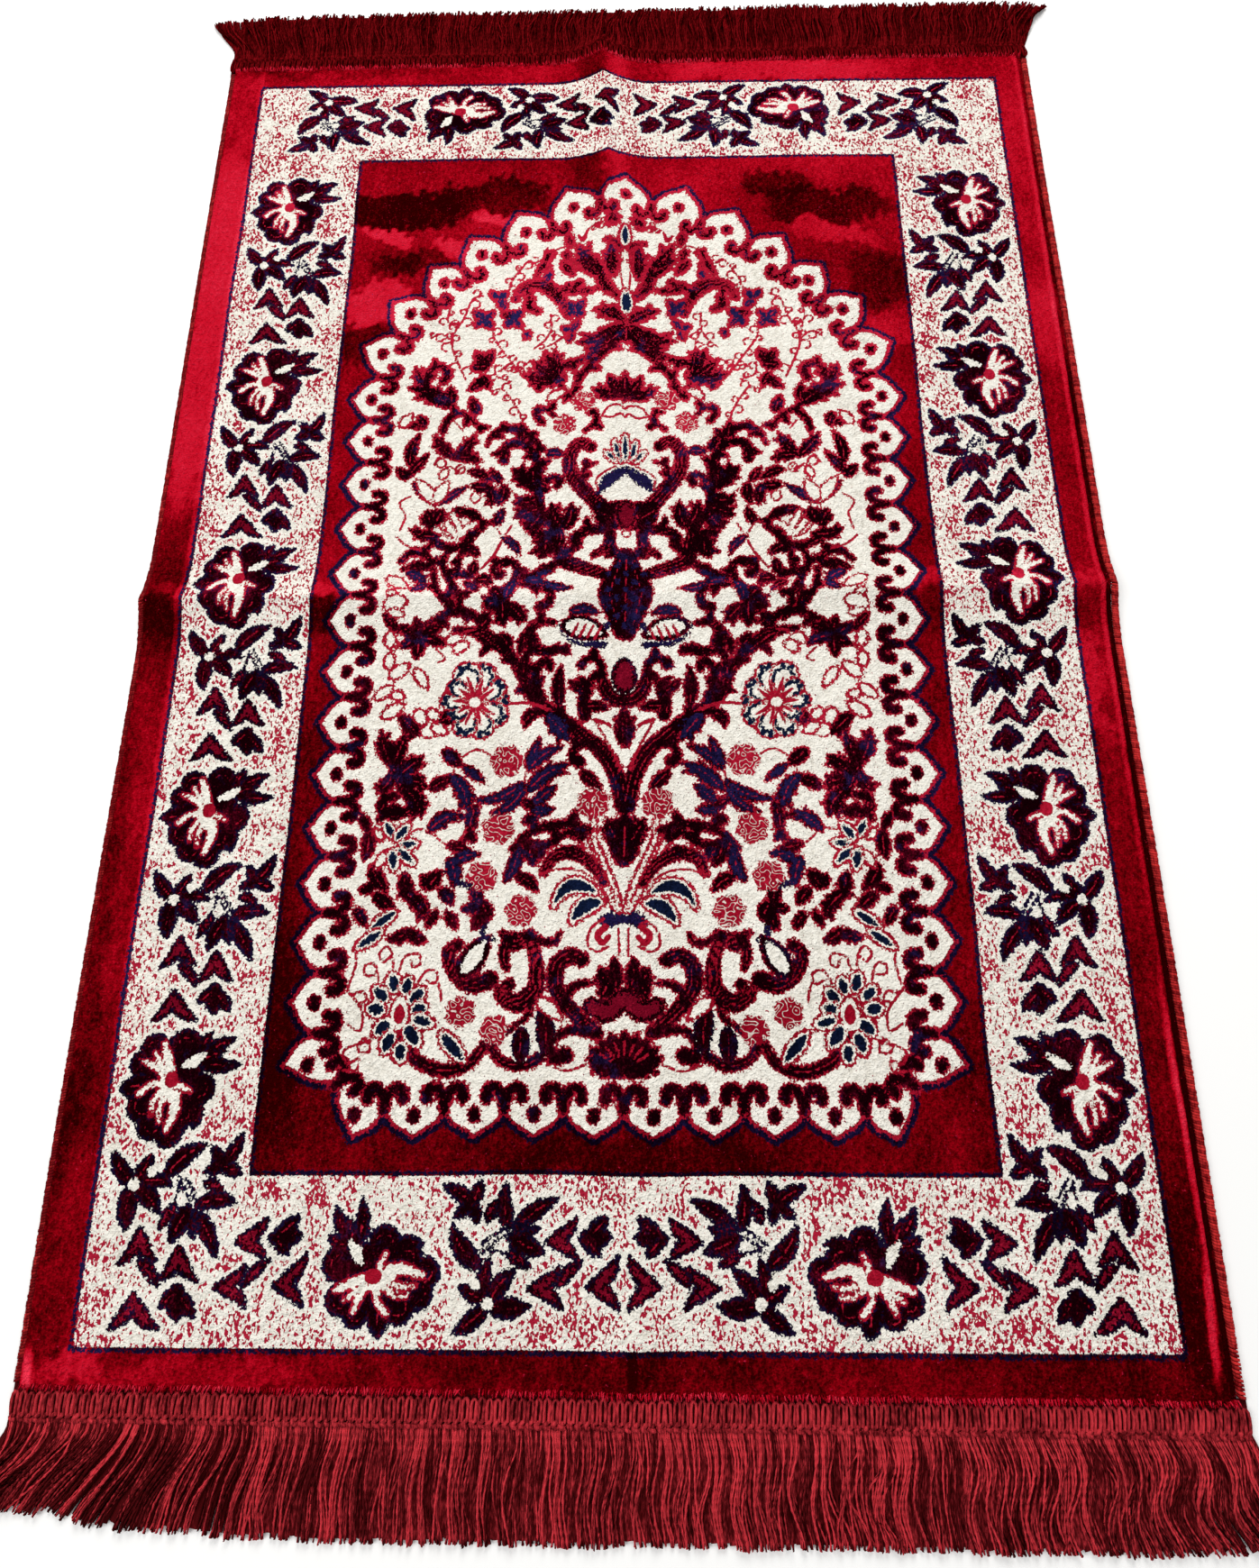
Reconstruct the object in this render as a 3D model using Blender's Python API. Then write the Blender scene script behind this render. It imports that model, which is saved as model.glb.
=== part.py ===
"""A velvet prayer rug lying open on a floor, with its two fold creases and its fringes.

Units are metres. +X is to the right, +Y points to the niche's tip, +Z is up.
The origin is on the floor under the middle of the rug, and the underside rests at z = 0.
"""

import math

import bmesh
import bpy
from mathutils import noise

# ---- Driving dimensions -------------------------------------------------------------------

# The pile cloth, between its cut edges.
CLOTH_HALF_WIDTH = 0.3325
NEAR_HALF_LENGTH = 0.4878
FAR_HALF_LENGTH = 0.4830
CLOTH_THICKNESS = 0.0055
# How far each end is cut askew: metres of Y for each metre of X.
NEAR_EDGE_SLOPE = -0.0100
FAR_EDGE_SLOPE = 0.0090
# How far the long sides wander from a straight line.
SIDE_WANDER = 0.0012
SIDE_WANDER_PERIOD = 0.34

# The gap between neighbouring pieces.
PIECE_GAP = 0.0003

# The crease along the length: (Y, X of its crest, height of its crest).
LENGTH_CREASE = (
    (-0.50, 0.009, 0.0018),
    (-0.25, 0.004, 0.0020),
    (0.00, -0.004, 0.0034),
    (0.20, -0.008, 0.0052),
    (0.36, -0.014, 0.0088),
    (0.50, -0.020, 0.0118),
)
# The crease across the width: (X, Y of its crest, height of its crest).
WIDTH_CREASE = (
    (-0.36, -0.0155, 0.0074),
    (-0.12, -0.0135, 0.0052),
    (0.00, -0.0125, 0.0046),
    (0.12, -0.0105, 0.0050),
    (0.36, -0.0060, 0.0066),
)
# How far a crease's foot lies from its crest: a steep flank and a wide foot.
CREASE_REACH = 0.046
CREASE_POWER = 2.2

# Where the cloth's grid lines lie, measured from a crease's crest.
CREASE_LINES = (0.003, 0.009, 0.018, 0.030)
FLAT_LINES_ACROSS = 5
FLAT_LINES_ALONG = 7

# The overlocked side edges: (distance out from the cloth, height) round the section.
BINDING_SECTION = (
    (0.0000, 0.0000),
    (0.0044, 0.0000),
    (0.0056, 0.0011),
    (0.0056, 0.0026),
    (0.0043, 0.0038),
    (0.0000, 0.0038),
)
BINDING_WIDTH = 0.0056

# The fringe trim: a header strip, and one lock of yarn for each of its loops.
HEADER_WIDTH = 0.0195
HEADER_THICKNESS = 0.0026
LOCKS = 136
LOCK_ROOT_SHARE = 0.66
LOCK_TIP_SHARE = 0.42
LOCK_TIP_THICKNESS = 0.0012
LOCK_SECTIONS = (0.30, 0.64, 1.0)
LOCK_LENGTH = 0.0515
# How unevenly the locks are cut, sway to the side and stray from each other,
# and over which share of the width, or which length of it, that comes and goes.
CUT_UNEVENNESS = 0.0042
CUT_PERIOD = 0.021
SWAY = 0.0016
SWAY_PERIOD = 0.05
STRAY = 0.0007
STRAY_PERIOD = 0.0083

# How the locks lean at their tips: (share of the way across from the left, metres of X).
NEAR_LEAN = (
    (0.00, -0.0330),
    (0.07, -0.0350),
    (0.14, -0.0210),
    (0.22, -0.0080),
    (0.32, -0.0010),
    (0.62, 0.0010),
    (0.84, 0.0030),
    (0.93, 0.0130),
    (1.00, 0.0290),
)
FAR_LEAN = (
    (0.00, -0.0190),
    (0.05, -0.0110),
    (0.14, -0.0020),
    (0.30, 0.0020),
    (0.46, 0.0045),
    (0.56, -0.0010),
    (0.78, 0.0010),
    (0.94, 0.0080),
    (1.00, 0.0190),
)

# ---- Finishes: colour, roughness ----------------------------------------------------------

PILE_FINISH = ((0.52, 0.02, 0.05), 0.85)
BINDING_FINISH = ((0.28, 0.02, 0.03), 0.75)
YARN_FINISH = ((0.26, 0.015, 0.025), 0.7)


# ---- Small helpers ------------------------------------------------------------------------


def remove_everything():
    """Empties the scene."""
    for item in list(bpy.data.objects):
        bpy.data.objects.remove(item, do_unlink=True)


def smooth_lookup(rows, at, column):
    """A column of a short table at a place along it, eased between the rows."""
    if at <= rows[0][0]:
        return rows[0][column]
    for lower, upper in zip(rows, rows[1:]):
        if at <= upper[0]:
            share = (at - lower[0]) / (upper[0] - lower[0])
            eased = share * share * (3.0 - 2.0 * share)
            return lower[column] + (upper[column] - lower[column]) * eased
    return rows[-1][column]


def wander(place, period, row):
    """A smooth unevenness between -1 and 1 along a line; each row has its own."""
    return noise.noise((place / period, row, 0.5))


def crease_height(distance, crest):
    """How high a crease stands at a distance from its crest."""
    inside = 1.0 - min(abs(distance) / CREASE_REACH, 1.0)
    return crest * inside**CREASE_POWER


def lift(x, y):
    """How high the cloth's underside stands off the floor."""
    along = crease_height(
        x - smooth_lookup(LENGTH_CREASE, y, 1), smooth_lookup(LENGTH_CREASE, y, 2)
    )
    across = crease_height(
        y - smooth_lookup(WIDTH_CREASE, x, 1), smooth_lookup(WIDTH_CREASE, x, 2)
    )
    return math.hypot(along, across)


def side_x(side, y):
    """X of the cloth's edge: side is -1 on the left and 1 on the right."""
    return side * (CLOTH_HALF_WIDTH + SIDE_WANDER * wander(y, SIDE_WANDER_PERIOD, side * 0.7))


def end_y(end, x):
    """Y of the cloth's edge: end is -1 at the near end and 1 at the far end."""
    if end < 0:
        return -NEAR_HALF_LENGTH + NEAR_EDGE_SLOPE * x
    return FAR_HALF_LENGTH + FAR_EDGE_SLOPE * x


def finish(name, colour, roughness):
    """A plain cloth material."""
    made = bpy.data.materials.new(name)
    made.use_nodes = True
    shader = made.node_tree.nodes["Principled BSDF"]
    shader.inputs["Base Color"].default_value = (*colour, 1.0)
    shader.inputs["Roughness"].default_value = roughness
    shader.inputs["Metallic"].default_value = 0.0
    return made


def add_object(name, shape, material):
    """Turns a finished bmesh into an object with its faces pointing out."""
    bmesh.ops.recalc_face_normals(shape, faces=shape.faces)
    bmesh.ops.triangulate(shape, faces=shape.faces)
    mesh = bpy.data.meshes.new(name)
    shape.to_mesh(mesh)
    shape.free()
    mesh.materials.append(material)
    made = bpy.data.objects.new(name, mesh)
    bpy.context.collection.objects.link(made)
    return made


# ---- The pile cloth -----------------------------------------------------------------------


def grid_places(flat_lines):
    """Grid lines from one edge over a crease to the other, as (share of the flat, offset).

    The share runs from -1 at one edge to 0 at the crease and 1 at the other edge.
    """
    flat = [(-1.0 + step / flat_lines, 0.0) for step in range(flat_lines)]
    flank = [(0.0, -offset) for offset in (CREASE_REACH, *reversed(CREASE_LINES))]
    before = flat + flank
    after = [(-share, -offset) for share, offset in reversed(before)]
    return before + [(0.0, 0.0)] + after


def between(line, low, crest, high):
    """Where a grid line lies between two edges, given where the crease's crest is."""
    share, offset = line
    if share < 0.0:
        return low + (crest - CREASE_REACH - low) * (1.0 + share)
    if share > 0.0:
        return high - (high - crest - CREASE_REACH) * (1.0 - share)
    return crest + offset


def cloth_point(across, along):
    """X and Y of the point where two grid lines of the cloth cross."""
    crease_y = smooth_lookup(WIDTH_CREASE, 0.0, 1)
    rough_y = between(along, -NEAR_HALF_LENGTH, crease_y, FAR_HALF_LENGTH)
    crest_x = smooth_lookup(LENGTH_CREASE, rough_y, 1)
    x = between(across, side_x(-1, rough_y), crest_x, side_x(1, rough_y))
    crest_y = smooth_lookup(WIDTH_CREASE, x, 1)
    y = between(along, end_y(-1, x), crest_y, end_y(1, x))
    return x, y


def make_cloth(material):
    """The cloth and its pile: one sheet of even thickness over both creases."""
    shape = bmesh.new()
    across_lines = grid_places(FLAT_LINES_ACROSS)
    along_lines = grid_places(FLAT_LINES_ALONG)
    under = []
    over = []
    for along in along_lines:
        low_row = []
        high_row = []
        for across in across_lines:
            x, y = cloth_point(across, along)
            z = lift(x, y)
            low_row.append(shape.verts.new((x, y, z)))
            high_row.append(shape.verts.new((x, y, z + CLOTH_THICKNESS)))
        under.append(low_row)
        over.append(high_row)
    rows = len(along_lines)
    columns = len(across_lines)
    for i in range(rows - 1):
        for j in range(columns - 1):
            for sheet in (under, over):
                shape.faces.new(
                    (sheet[i][j], sheet[i][j + 1], sheet[i + 1][j + 1], sheet[i + 1][j])
                )
    for i in range(rows - 1):
        for j in (0, columns - 1):
            shape.faces.new((under[i][j], under[i + 1][j], over[i + 1][j], over[i][j]))
    for j in range(columns - 1):
        for i in (0, rows - 1):
            shape.faces.new((under[i][j], under[i][j + 1], over[i][j + 1], over[i][j]))
    return add_object("pile_cloth", shape, material)


# ---- The overlocked side edges ------------------------------------------------------------


def make_binding(name, side, material):
    """The serged edge along one long side, over the same crease as the cloth."""
    shape = bmesh.new()
    edge_line = grid_places(FLAT_LINES_ACROSS)[0 if side < 0 else -1]
    rings = []
    for along in grid_places(FLAT_LINES_ALONG):
        x, y = cloth_point(edge_line, along)
        z = lift(x, y)
        ring = [
            shape.verts.new((x + side * (PIECE_GAP + out), y, z + up))
            for out, up in BINDING_SECTION
        ]
        rings.append(ring)
    for ring, following in zip(rings, rings[1:]):
        for k in range(len(ring)):
            after = (k + 1) % len(ring)
            shape.faces.new((ring[k], ring[after], following[after], following[k]))
    shape.faces.new(rings[0])
    shape.faces.new(rings[-1])
    return add_object(name, shape, material)


# ---- The fringe trims ---------------------------------------------------------------------


def header_lines():
    """X of the header's columns: each lock's two root edges, and the two ends."""
    half = CLOTH_HALF_WIDTH + PIECE_GAP + BINDING_WIDTH
    pitch = 2.0 * half / LOCKS
    root = pitch * LOCK_ROOT_SHARE
    lines = [-half]
    for i in range(LOCKS):
        middle = -half + pitch * (i + 0.5)
        lines += [middle - root / 2.0, middle + root / 2.0]
    lines.append(half)
    return lines, pitch


def lock_reach(end, share):
    """How far a lock's tip lies from its root: to the side, and out from the rug."""
    lean = smooth_lookup(NEAR_LEAN if end < 0 else FAR_LEAN, share, 1)
    cut = CUT_UNEVENNESS * (0.5 + 0.5 * wander(share, CUT_PERIOD, end * 1.6))
    length = LOCK_LENGTH - cut
    return lean, math.sqrt(length**2 - lean**2)


def lock_ring(end, root, width, share, step):
    """The four corners of a lock's section at a step from its root, 0, to its tip, 1."""
    root_x, root_y, root_z = root
    lean, out = lock_reach(end, share)
    sway = SWAY * math.sin(math.tau * step) * wander(root_x, SWAY_PERIOD, end * 2.6)
    stray = STRAY * wander(share, STRAY_PERIOD, end * 3.6) * step
    x = root_x + lean * step * step * (2.0 - step) + sway + stray
    y = root_y + end * out * step
    z = root_z * (1.0 - step) ** 2
    high = z + HEADER_THICKNESS + (LOCK_TIP_THICKNESS - HEADER_THICKNESS) * step
    half = width / 2.0
    return ((x - half, y, z), (x + half, y, z), (x + half, y, high), (x - half, y, high))


def make_fringe(name, end, material):
    """A header strip with its locks, drawn out of its outer wall as one closed body."""
    shape = bmesh.new()
    lines, pitch = header_lines()
    inner_low = []
    inner_high = []
    outer_low = []
    outer_high = []
    for x in lines:
        edge = end_y(end, x) + end * PIECE_GAP
        rim = edge + end * HEADER_WIDTH
        for y, low, high in ((edge, inner_low, inner_high), (rim, outer_low, outer_high)):
            z = lift(x, y)
            low.append(shape.verts.new((x, y, z)))
            high.append(shape.verts.new((x, y, z + HEADER_THICKNESS)))
    for i in range(len(lines) - 1):
        j = i + 1
        shape.faces.new((inner_low[i], inner_low[j], outer_low[j], outer_low[i]))
        shape.faces.new((inner_high[i], inner_high[j], outer_high[j], outer_high[i]))
        shape.faces.new((inner_low[i], inner_low[j], inner_high[j], inner_high[i]))
        if i % 2 == 0:
            shape.faces.new((outer_low[i], outer_low[j], outer_high[j], outer_high[i]))
    for i in (0, -1):
        shape.faces.new((inner_low[i], outer_low[i], outer_high[i], inner_high[i]))
    for lock in range(LOCKS):
        i = 1 + 2 * lock
        ring = (outer_low[i], outer_low[i + 1], outer_high[i + 1], outer_high[i])
        left, right = outer_low[i].co, outer_low[i + 1].co
        middle = (left + right) / 2.0
        share = (lock + 0.5) / LOCKS
        for step in LOCK_SECTIONS:
            width = pitch * (LOCK_ROOT_SHARE + (LOCK_TIP_SHARE - LOCK_ROOT_SHARE) * step)
            corners = lock_ring(end, middle, width, share, step)
            following = tuple(shape.verts.new(corner) for corner in corners)
            for k in range(4):
                after = (k + 1) % 4
                shape.faces.new((ring[k], ring[after], following[after], following[k]))
            ring = following
        shape.faces.new(ring)
    return add_object(name, shape, material)


# ---- The rug ------------------------------------------------------------------------------


def main():
    """Builds every piece of the rug."""
    remove_everything()
    pile = finish("pile", *PILE_FINISH)
    binding = finish("binding", *BINDING_FINISH)
    yarn = finish("yarn", *YARN_FINISH)
    make_cloth(pile)
    make_binding("binding_left", -1, binding)
    make_binding("binding_right", 1, binding)
    make_fringe("fringe_near", -1, yarn)
    make_fringe("fringe_far", 1, yarn)


main()
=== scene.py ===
"""The looks of a velvet prayer rug: woven pile, serged sides and yarn fringes.

Units are metres, except in the weaving chart, which is drawn in millimetres.
+X is to the right, +Y points to the niche's tip, +Z is up, and the floor is at z = 0.
"""

import logging
import math
from dataclasses import dataclass
from enum import Enum

import bmesh
import bpy
import numpy as np
from mathutils import Euler, Matrix, Vector, noise

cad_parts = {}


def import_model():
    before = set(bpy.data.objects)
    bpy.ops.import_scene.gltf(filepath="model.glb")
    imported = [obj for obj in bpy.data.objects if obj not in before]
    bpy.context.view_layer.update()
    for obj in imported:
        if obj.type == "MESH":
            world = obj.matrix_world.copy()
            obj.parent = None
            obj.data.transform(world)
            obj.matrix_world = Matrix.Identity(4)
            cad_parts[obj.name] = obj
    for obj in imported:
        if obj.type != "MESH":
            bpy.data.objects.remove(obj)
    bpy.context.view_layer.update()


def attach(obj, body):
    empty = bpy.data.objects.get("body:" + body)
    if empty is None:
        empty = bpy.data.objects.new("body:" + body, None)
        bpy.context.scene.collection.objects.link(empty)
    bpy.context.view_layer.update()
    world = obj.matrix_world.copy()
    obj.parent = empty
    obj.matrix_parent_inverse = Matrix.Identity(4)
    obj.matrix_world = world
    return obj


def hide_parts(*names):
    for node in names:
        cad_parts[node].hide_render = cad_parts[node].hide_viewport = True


log = logging.getLogger("prayer_rug")

Place = tuple[float, float]
Colour = tuple[float, float, float]
Input = float | tuple | bpy.types.NodeSocket


# ==== The yarns and how motifs are dressed in them =========================================


class Layer(Enum):
    """The chart's layers over the crimson pile; each shows over those before it."""

    CREAM = 0
    SHADOW = 1
    RED = 2
    ROSE = 3
    WINE = 4
    NAVY = 5
    HEART = 6
    BLOOM = 7
    CORE = 8
    VEIN = 9


class Dress(Enum):
    """A motif's layers from its rim inwards: (layer, millimetres outside the outline).

    The first entry says whether the motif melts into its neighbours of the same dress.
    """

    DARK = (True, (Layer.RED, 1.3), (Layer.WINE, 0.0))
    INK = (True, (Layer.RED, 1.2), (Layer.WINE, 0.1), (Layer.NAVY, -0.9))
    SHADE = (True, (Layer.SHADOW, 1.3), (Layer.WINE, -0.6))
    PETAL = (False, (Layer.SHADOW, 0.9), (Layer.WINE, -0.5))
    HEART = (True, (Layer.SHADOW, 1.4), (Layer.WINE, 0.0), (Layer.HEART, -1.6))
    FLAME = (False, (Layer.RED, 2.6), (Layer.WINE, 1.9), (Layer.HEART, -0.3))
    NAVY = (True, (Layer.WINE, 0.4), (Layer.NAVY, -0.1))
    STEM = (False, (Layer.SHADOW, 0.3),)
    DOT = (False, (Layer.RED, 1.0), (Layer.WINE, 0.0))
    OUTLINE = (False, (Layer.RED, 1.0), (Layer.BLOOM, -0.9))
    DARK_OUTLINE = (False, (Layer.RED, 1.7), (Layer.WINE, 0.9), (Layer.BLOOM, -2.0))
    CORED = (False, (Layer.RED, 2.8), (Layer.BLOOM, 1.2), (Layer.CORE, 0.0))
    STREAK = (True, (Layer.RED, 1.7), (Layer.BLOOM, -0.1))
    LINE = (False, (Layer.VEIN, 0.2))
    RIB = (True, (Layer.VEIN, -0.05))
    INKLINE = (True, (Layer.CORE, 0.0))
    CREAM = (False, (Layer.BLOOM, 0.0))
    ROSE = (True, (Layer.ROSE, 0.0))


# The dresses that show a paler rib, and those whose broad leaves are notched.
RIBBED = (Dress.DARK, Dress.INK, Dress.SHADE, Dress.PETAL)
NOTCHED = (Dress.DARK, Dress.INK)


# ==== The weaving chart ====================================================================


def smooth_path(places: tuple[Place, ...], steps: int = 6) -> np.ndarray:
    """Draws a smooth line through a few places.

    Args:
        places: The places that the line passes, in millimetres.
        steps: Pieces between two places.

    Returns:
        The line's points, one row each.
    """
    points = np.array(places, float)
    if len(points) < 3:
        return np.linspace(points[0], points[-1], steps + 1)
    padded = np.vstack([2 * points[0] - points[1], points, 2 * points[-1] - points[-2]])
    line = []
    for before, start, end, after in zip(padded, padded[1:], padded[2:], padded[3:]):
        for t in np.arange(steps) / steps:
            line.append(
                0.5
                * (
                    2 * start
                    + (end - before) * t
                    + (2 * before - 5 * start + 4 * end - after) * t**2
                    + (3 * start - before - 3 * end + after) * t**3
                )
            )
    line.append(points[-1])
    return np.array(line)


def walked_along(lines: np.ndarray) -> np.ndarray:
    """How far each point of a line, or of several, lies from its start."""
    steps = np.linalg.norm(np.diff(lines, axis=-2), axis=-1)
    return np.concatenate([np.zeros_like(steps[..., :1]), np.cumsum(steps, axis=-1)], axis=-1)


def stroke_distance(x: np.ndarray, y: np.ndarray, line: np.ndarray, radii: np.ndarray) -> np.ndarray:
    """Finds how far points lie outside a stroke of changing width.

    Args:
        x: The points' X.
        y: The points' Y.
        line: The stroke's middle line.
        radii: Half its width at each point of the line.

    Returns:
        The distance to the stroke's edge, negative inside it.
    """
    nearest = np.full(np.broadcast(x, y).shape, 1e3, np.float32)
    for (ax, ay), (bx, by), low, high in zip(line, line[1:], radii, radii[1:]):
        dx, dy = bx - ax, by - ay
        along = np.clip(((x - ax) * dx + (y - ay) * dy) / (dx * dx + dy * dy + 1e-9), 0.0, 1.0)
        away = np.hypot(x - ax - along * dx, y - ay - along * dy) - (low + (high - low) * along)
        np.minimum(nearest, away, out=nearest)
    return nearest


def polygon_distance(x: np.ndarray, y: np.ndarray, corners: np.ndarray) -> np.ndarray:
    """Finds how far points lie outside a closed outline, negative inside it.

    Args:
        x: The points' X.
        y: The points' Y.
        corners: The outline's corners in order.

    Returns:
        The signed distances.
    """
    shape = np.broadcast(x, y).shape
    nearest = np.full(shape, 1e3, np.float32)
    inside = np.zeros(shape, bool)
    for (ax, ay), (bx, by) in zip(corners, np.roll(corners, -1, axis=0)):
        dx, dy = bx - ax, by - ay
        along = np.clip(((x - ax) * dx + (y - ay) * dy) / (dx * dx + dy * dy + 1e-9), 0.0, 1.0)
        np.minimum(nearest, np.hypot(x - ax - along * dx, y - ay - along * dy), out=nearest)
        crosses = (ay > y) != (by > y)
        inside ^= crosses & (x < ax + dx * (y - ay) / (dy if dy else 1e-9))
    return np.where(inside, -nearest, nearest)


@dataclass(frozen=True)
class Turned:
    """Where a motif's own axes lie on the rug: a place, and the way its X and Y run."""

    x: float = 0.0
    y: float = 0.0
    across: Place = (1.0, 0.0)
    along: Place = (0.0, 1.0)

    def to_rug(self, place: Place) -> Place:
        """The place on the rug of a place in the motif's own axes."""
        u, v = place
        return (
            self.x + u * self.across[0] + v * self.along[0],
            self.y + u * self.across[1] + v * self.along[1],
        )


UPRIGHT = Turned()


class TuftChart:
    """The left half of the pattern, as one smooth edge field for each layer.

    A layer's field is positive inside its shapes and 0 on their edges, so a mesh coarser
    than a tuft still shows a clean edge.
    """

    EDGE = 2.0
    HALO = 12.0
    FULLNESS = 1.17
    # How far apart the little leaves of a stem stand.
    SPROUT = 10.5
    # Half a rib's width, and the widths from which shapes are ribbed and leaves notched.
    RIB = 0.5
    RIBBED_FROM = 5.0
    # A stroke's ribs: (below this half width, their shares of the way out).
    RIBS = ((3.4, (0.0,)), (5.0, (-0.42, 0.42)), (math.inf, (-0.6, 0.0, 0.6)))
    NOTCHED_FROM = 8.0
    # Broad leaves' side points: (share of the length, side).
    NOTCHES = ((0.20, 1.0), (0.28, -1.0), (0.50, 1.0), (0.58, -1.0))

    def __init__(self, half_width: float, half_length: float, columns: int, rows: int) -> None:
        """Starts a plain crimson rug.

        Args:
            half_width: From the middle to the left edge, in millimetres.
            half_length: From the middle to an end, in millimetres.
            columns: Lines of the left half's grid, with the middle one.
            rows: Lines of the grid along the rug.
        """
        self.xs = np.linspace(-half_width, 0.0, columns, dtype=np.float32)
        self.ys = np.linspace(-half_length, half_length, rows, dtype=np.float32)
        self.fields = np.full((len(Layer), rows, columns), -1.0, np.float32)
        self.halo = np.full((rows, columns), self.HALO, np.float32)

    def window(self, low: Place, high: Place) -> tuple[slice, slice]:
        """The rows and columns of the grid that a box in millimetres covers."""
        left, right = np.searchsorted(self.xs, (low[0], high[0]))
        bottom, top = np.searchsorted(self.ys, (low[1], high[1]))
        return slice(bottom, top + 1), slice(left, right + 1)

    def lay(
        self, where: tuple[slice, slice], distance: np.ndarray, layer: Layer, spared: tuple[Layer, ...] = ()
    ) -> None:
        """Weaves a layer wherever a distance is negative, and clears the layers over it.

        Args:
            where: The grid window that the distance covers.
            distance: Millimetres outside the shape.
            layer: The layer.
            spared: Layers over it that stay.
        """
        edge = np.clip(-distance / self.EDGE, -1.0, 1.0)
        for other in Layer:
            field = self.fields[other.value][where]
            if other is layer:
                np.maximum(field, edge, out=field)
            elif other.value > layer.value and other not in spared:
                np.minimum(field, -edge, out=field)
        if layer is not Layer.CREAM:
            halo = self.halo[where]
            np.minimum(halo, distance, out=halo)

    def dress(self, where: tuple[slice, slice], distance: np.ndarray, dress: Dress) -> None:
        """Weaves a shape in its layers, from the rim inwards."""
        melts, *rows = dress.value
        spared = tuple(layer for layer, _ in rows) if melts else ()
        for layer, outside in rows:
            self.lay(where, distance - outside, layer, spared)

    def stroke(self, line: np.ndarray, radii: np.ndarray, dress: Dress, at: Turned) -> None:
        """Weaves a stroke of changing width.

        Args:
            line: Its middle line in the motif's own axes.
            radii: Half its width at each point.
            dress: Its yarns.
            at: Where the motif lies.
        """
        line = np.array([at.to_rug(tuple(point)) for point in line])
        reach = float(radii.max()) + self.HALO
        low, high = line.min(axis=0) - reach, line.max(axis=0) + reach
        if low[0] > 0.0:
            return
        where = self.window(tuple(low), tuple(high))
        x, y = self.xs[where[1]][None, :], self.ys[where[0]][:, None]
        self.dress(where, stroke_distance(x, y, line, radii), dress)

    def leaf(self, row: tuple[float, ...], dress: Dress, at: Turned = UPRIGHT) -> None:
        """Weaves a leaf or petal, pointed at both ends.

        Args:
            row: Base X, base Y, tip X, tip Y, width, and unless it is straight, how far it bows
                to its left as a share of its length.
            dress: Its yarns.
            at: Where the motif lies.
        """
        x0, y0, x1, y1, width, *bow = row
        t = np.linspace(0.0, 1.0, 9)
        bulge = 4.0 * sum(bow) * t * (1.0 - t)
        dx, dy = x1 - x0, y1 - y0
        line = np.stack([x0 + dx * t - dy * bulge, y0 + dy * t + dx * bulge], axis=1)
        full = width * self.FULLNESS + 0.3
        length = math.hypot(dx, dy)
        if dress in NOTCHED and width >= self.NOTCHED_FROM and length > 1.5 * self.NOTCHED_FROM:
            full *= 0.80
            for share, side in self.NOTCHES:
                root = line[round(8 * share)]
                ahead = line[round(8 * (share + 0.24))]
                reach = side * 0.62 * width / length
                tip = (ahead[0] - dy * reach, ahead[1] + dx * reach)
                radii = np.array([0.20, 0.17, 0.02]) * width
                self.stroke(np.linspace(root, tip, 3), radii, dress, at)
        radii = 0.5 * full * np.sin(math.pi * np.clip(t, 0.02, 0.985) ** 0.8) ** 0.85
        self.stroke(line, radii, dress, at)
        if dress in RIBBED and width >= self.RIBBED_FROM and length > 2.0 * self.RIBBED_FROM:
            self.stroke(line[1:7], np.full(6, self.RIB), Dress.RIB, at)

    def scroll(self, row: tuple, dress: Dress, at: Turned = UPRIGHT) -> None:
        """Weaves a stem, arc or curl along a smooth line.

        Args:
            row: Its width at the start, in the middle and at the end, or one width for all,
                then its places.
            dress: Its yarns.
            at: Where the motif lies.
        """
        widths = [entry for entry in row if not isinstance(entry, tuple)]
        line = smooth_path(row[len(widths) :])
        share = np.linspace(0.0, 1.0, len(line))
        radii = 0.5 * np.interp(share, np.linspace(0.0, 1.0, len(widths)), widths)
        self.stroke(line, radii, dress, at)
        if dress in RIBBED and widths[len(widths) // 2] >= self.RIBBED_FROM:
            self.rib(line, radii, at)

    def rib(self, line: np.ndarray, radii: np.ndarray, at: Turned) -> None:
        """Weaves the pale ribs along a broad stroke, one to three by its breadth."""
        way = np.gradient(line, axis=0)
        way /= np.maximum(np.linalg.norm(way, axis=1, keepdims=True), 1e-6)
        out = np.stack([-way[:, 1], way[:, 0]], axis=1) * radii[:, None]
        offsets = next(offsets for below, offsets in self.RIBS if radii.max() < below)
        for offset in offsets:
            self.stroke((line + offset * out)[1:-1], np.full(len(line) - 2, self.RIB), Dress.RIB, at)

    def sprouts(self, row: tuple, dress: Dress) -> None:
        """Weaves little leaves on alternate sides of a stem.

        Args:
            row: The stem's scroll row.
            dress: The dress of the leaves.
        """
        line = smooth_path(row[3:], 8)
        walked = walked_along(line)
        for number, place in enumerate(np.arange(0.6 * self.SPROUT, walked[-1] - 3.0, self.SPROUT)):
            i = int(np.searchsorted(walked, place))
            dx, dy = line[i] - line[i - 1]
            side = 1.0 if number % 2 else -1.0
            turn = math.atan2(dy, dx) + side * (0.95 + 0.3 * math.sin(3.1 * number + line[i][0]))
            reach = 0.5 * row[1] + 6.5 + 1.8 * math.sin(1.7 * number + line[i][1])
            tip = line[i] + reach * np.array([math.cos(turn), math.sin(turn)])
            self.leaf((*line[i], *tip, 4.3, -0.16 * side), dress)

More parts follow.
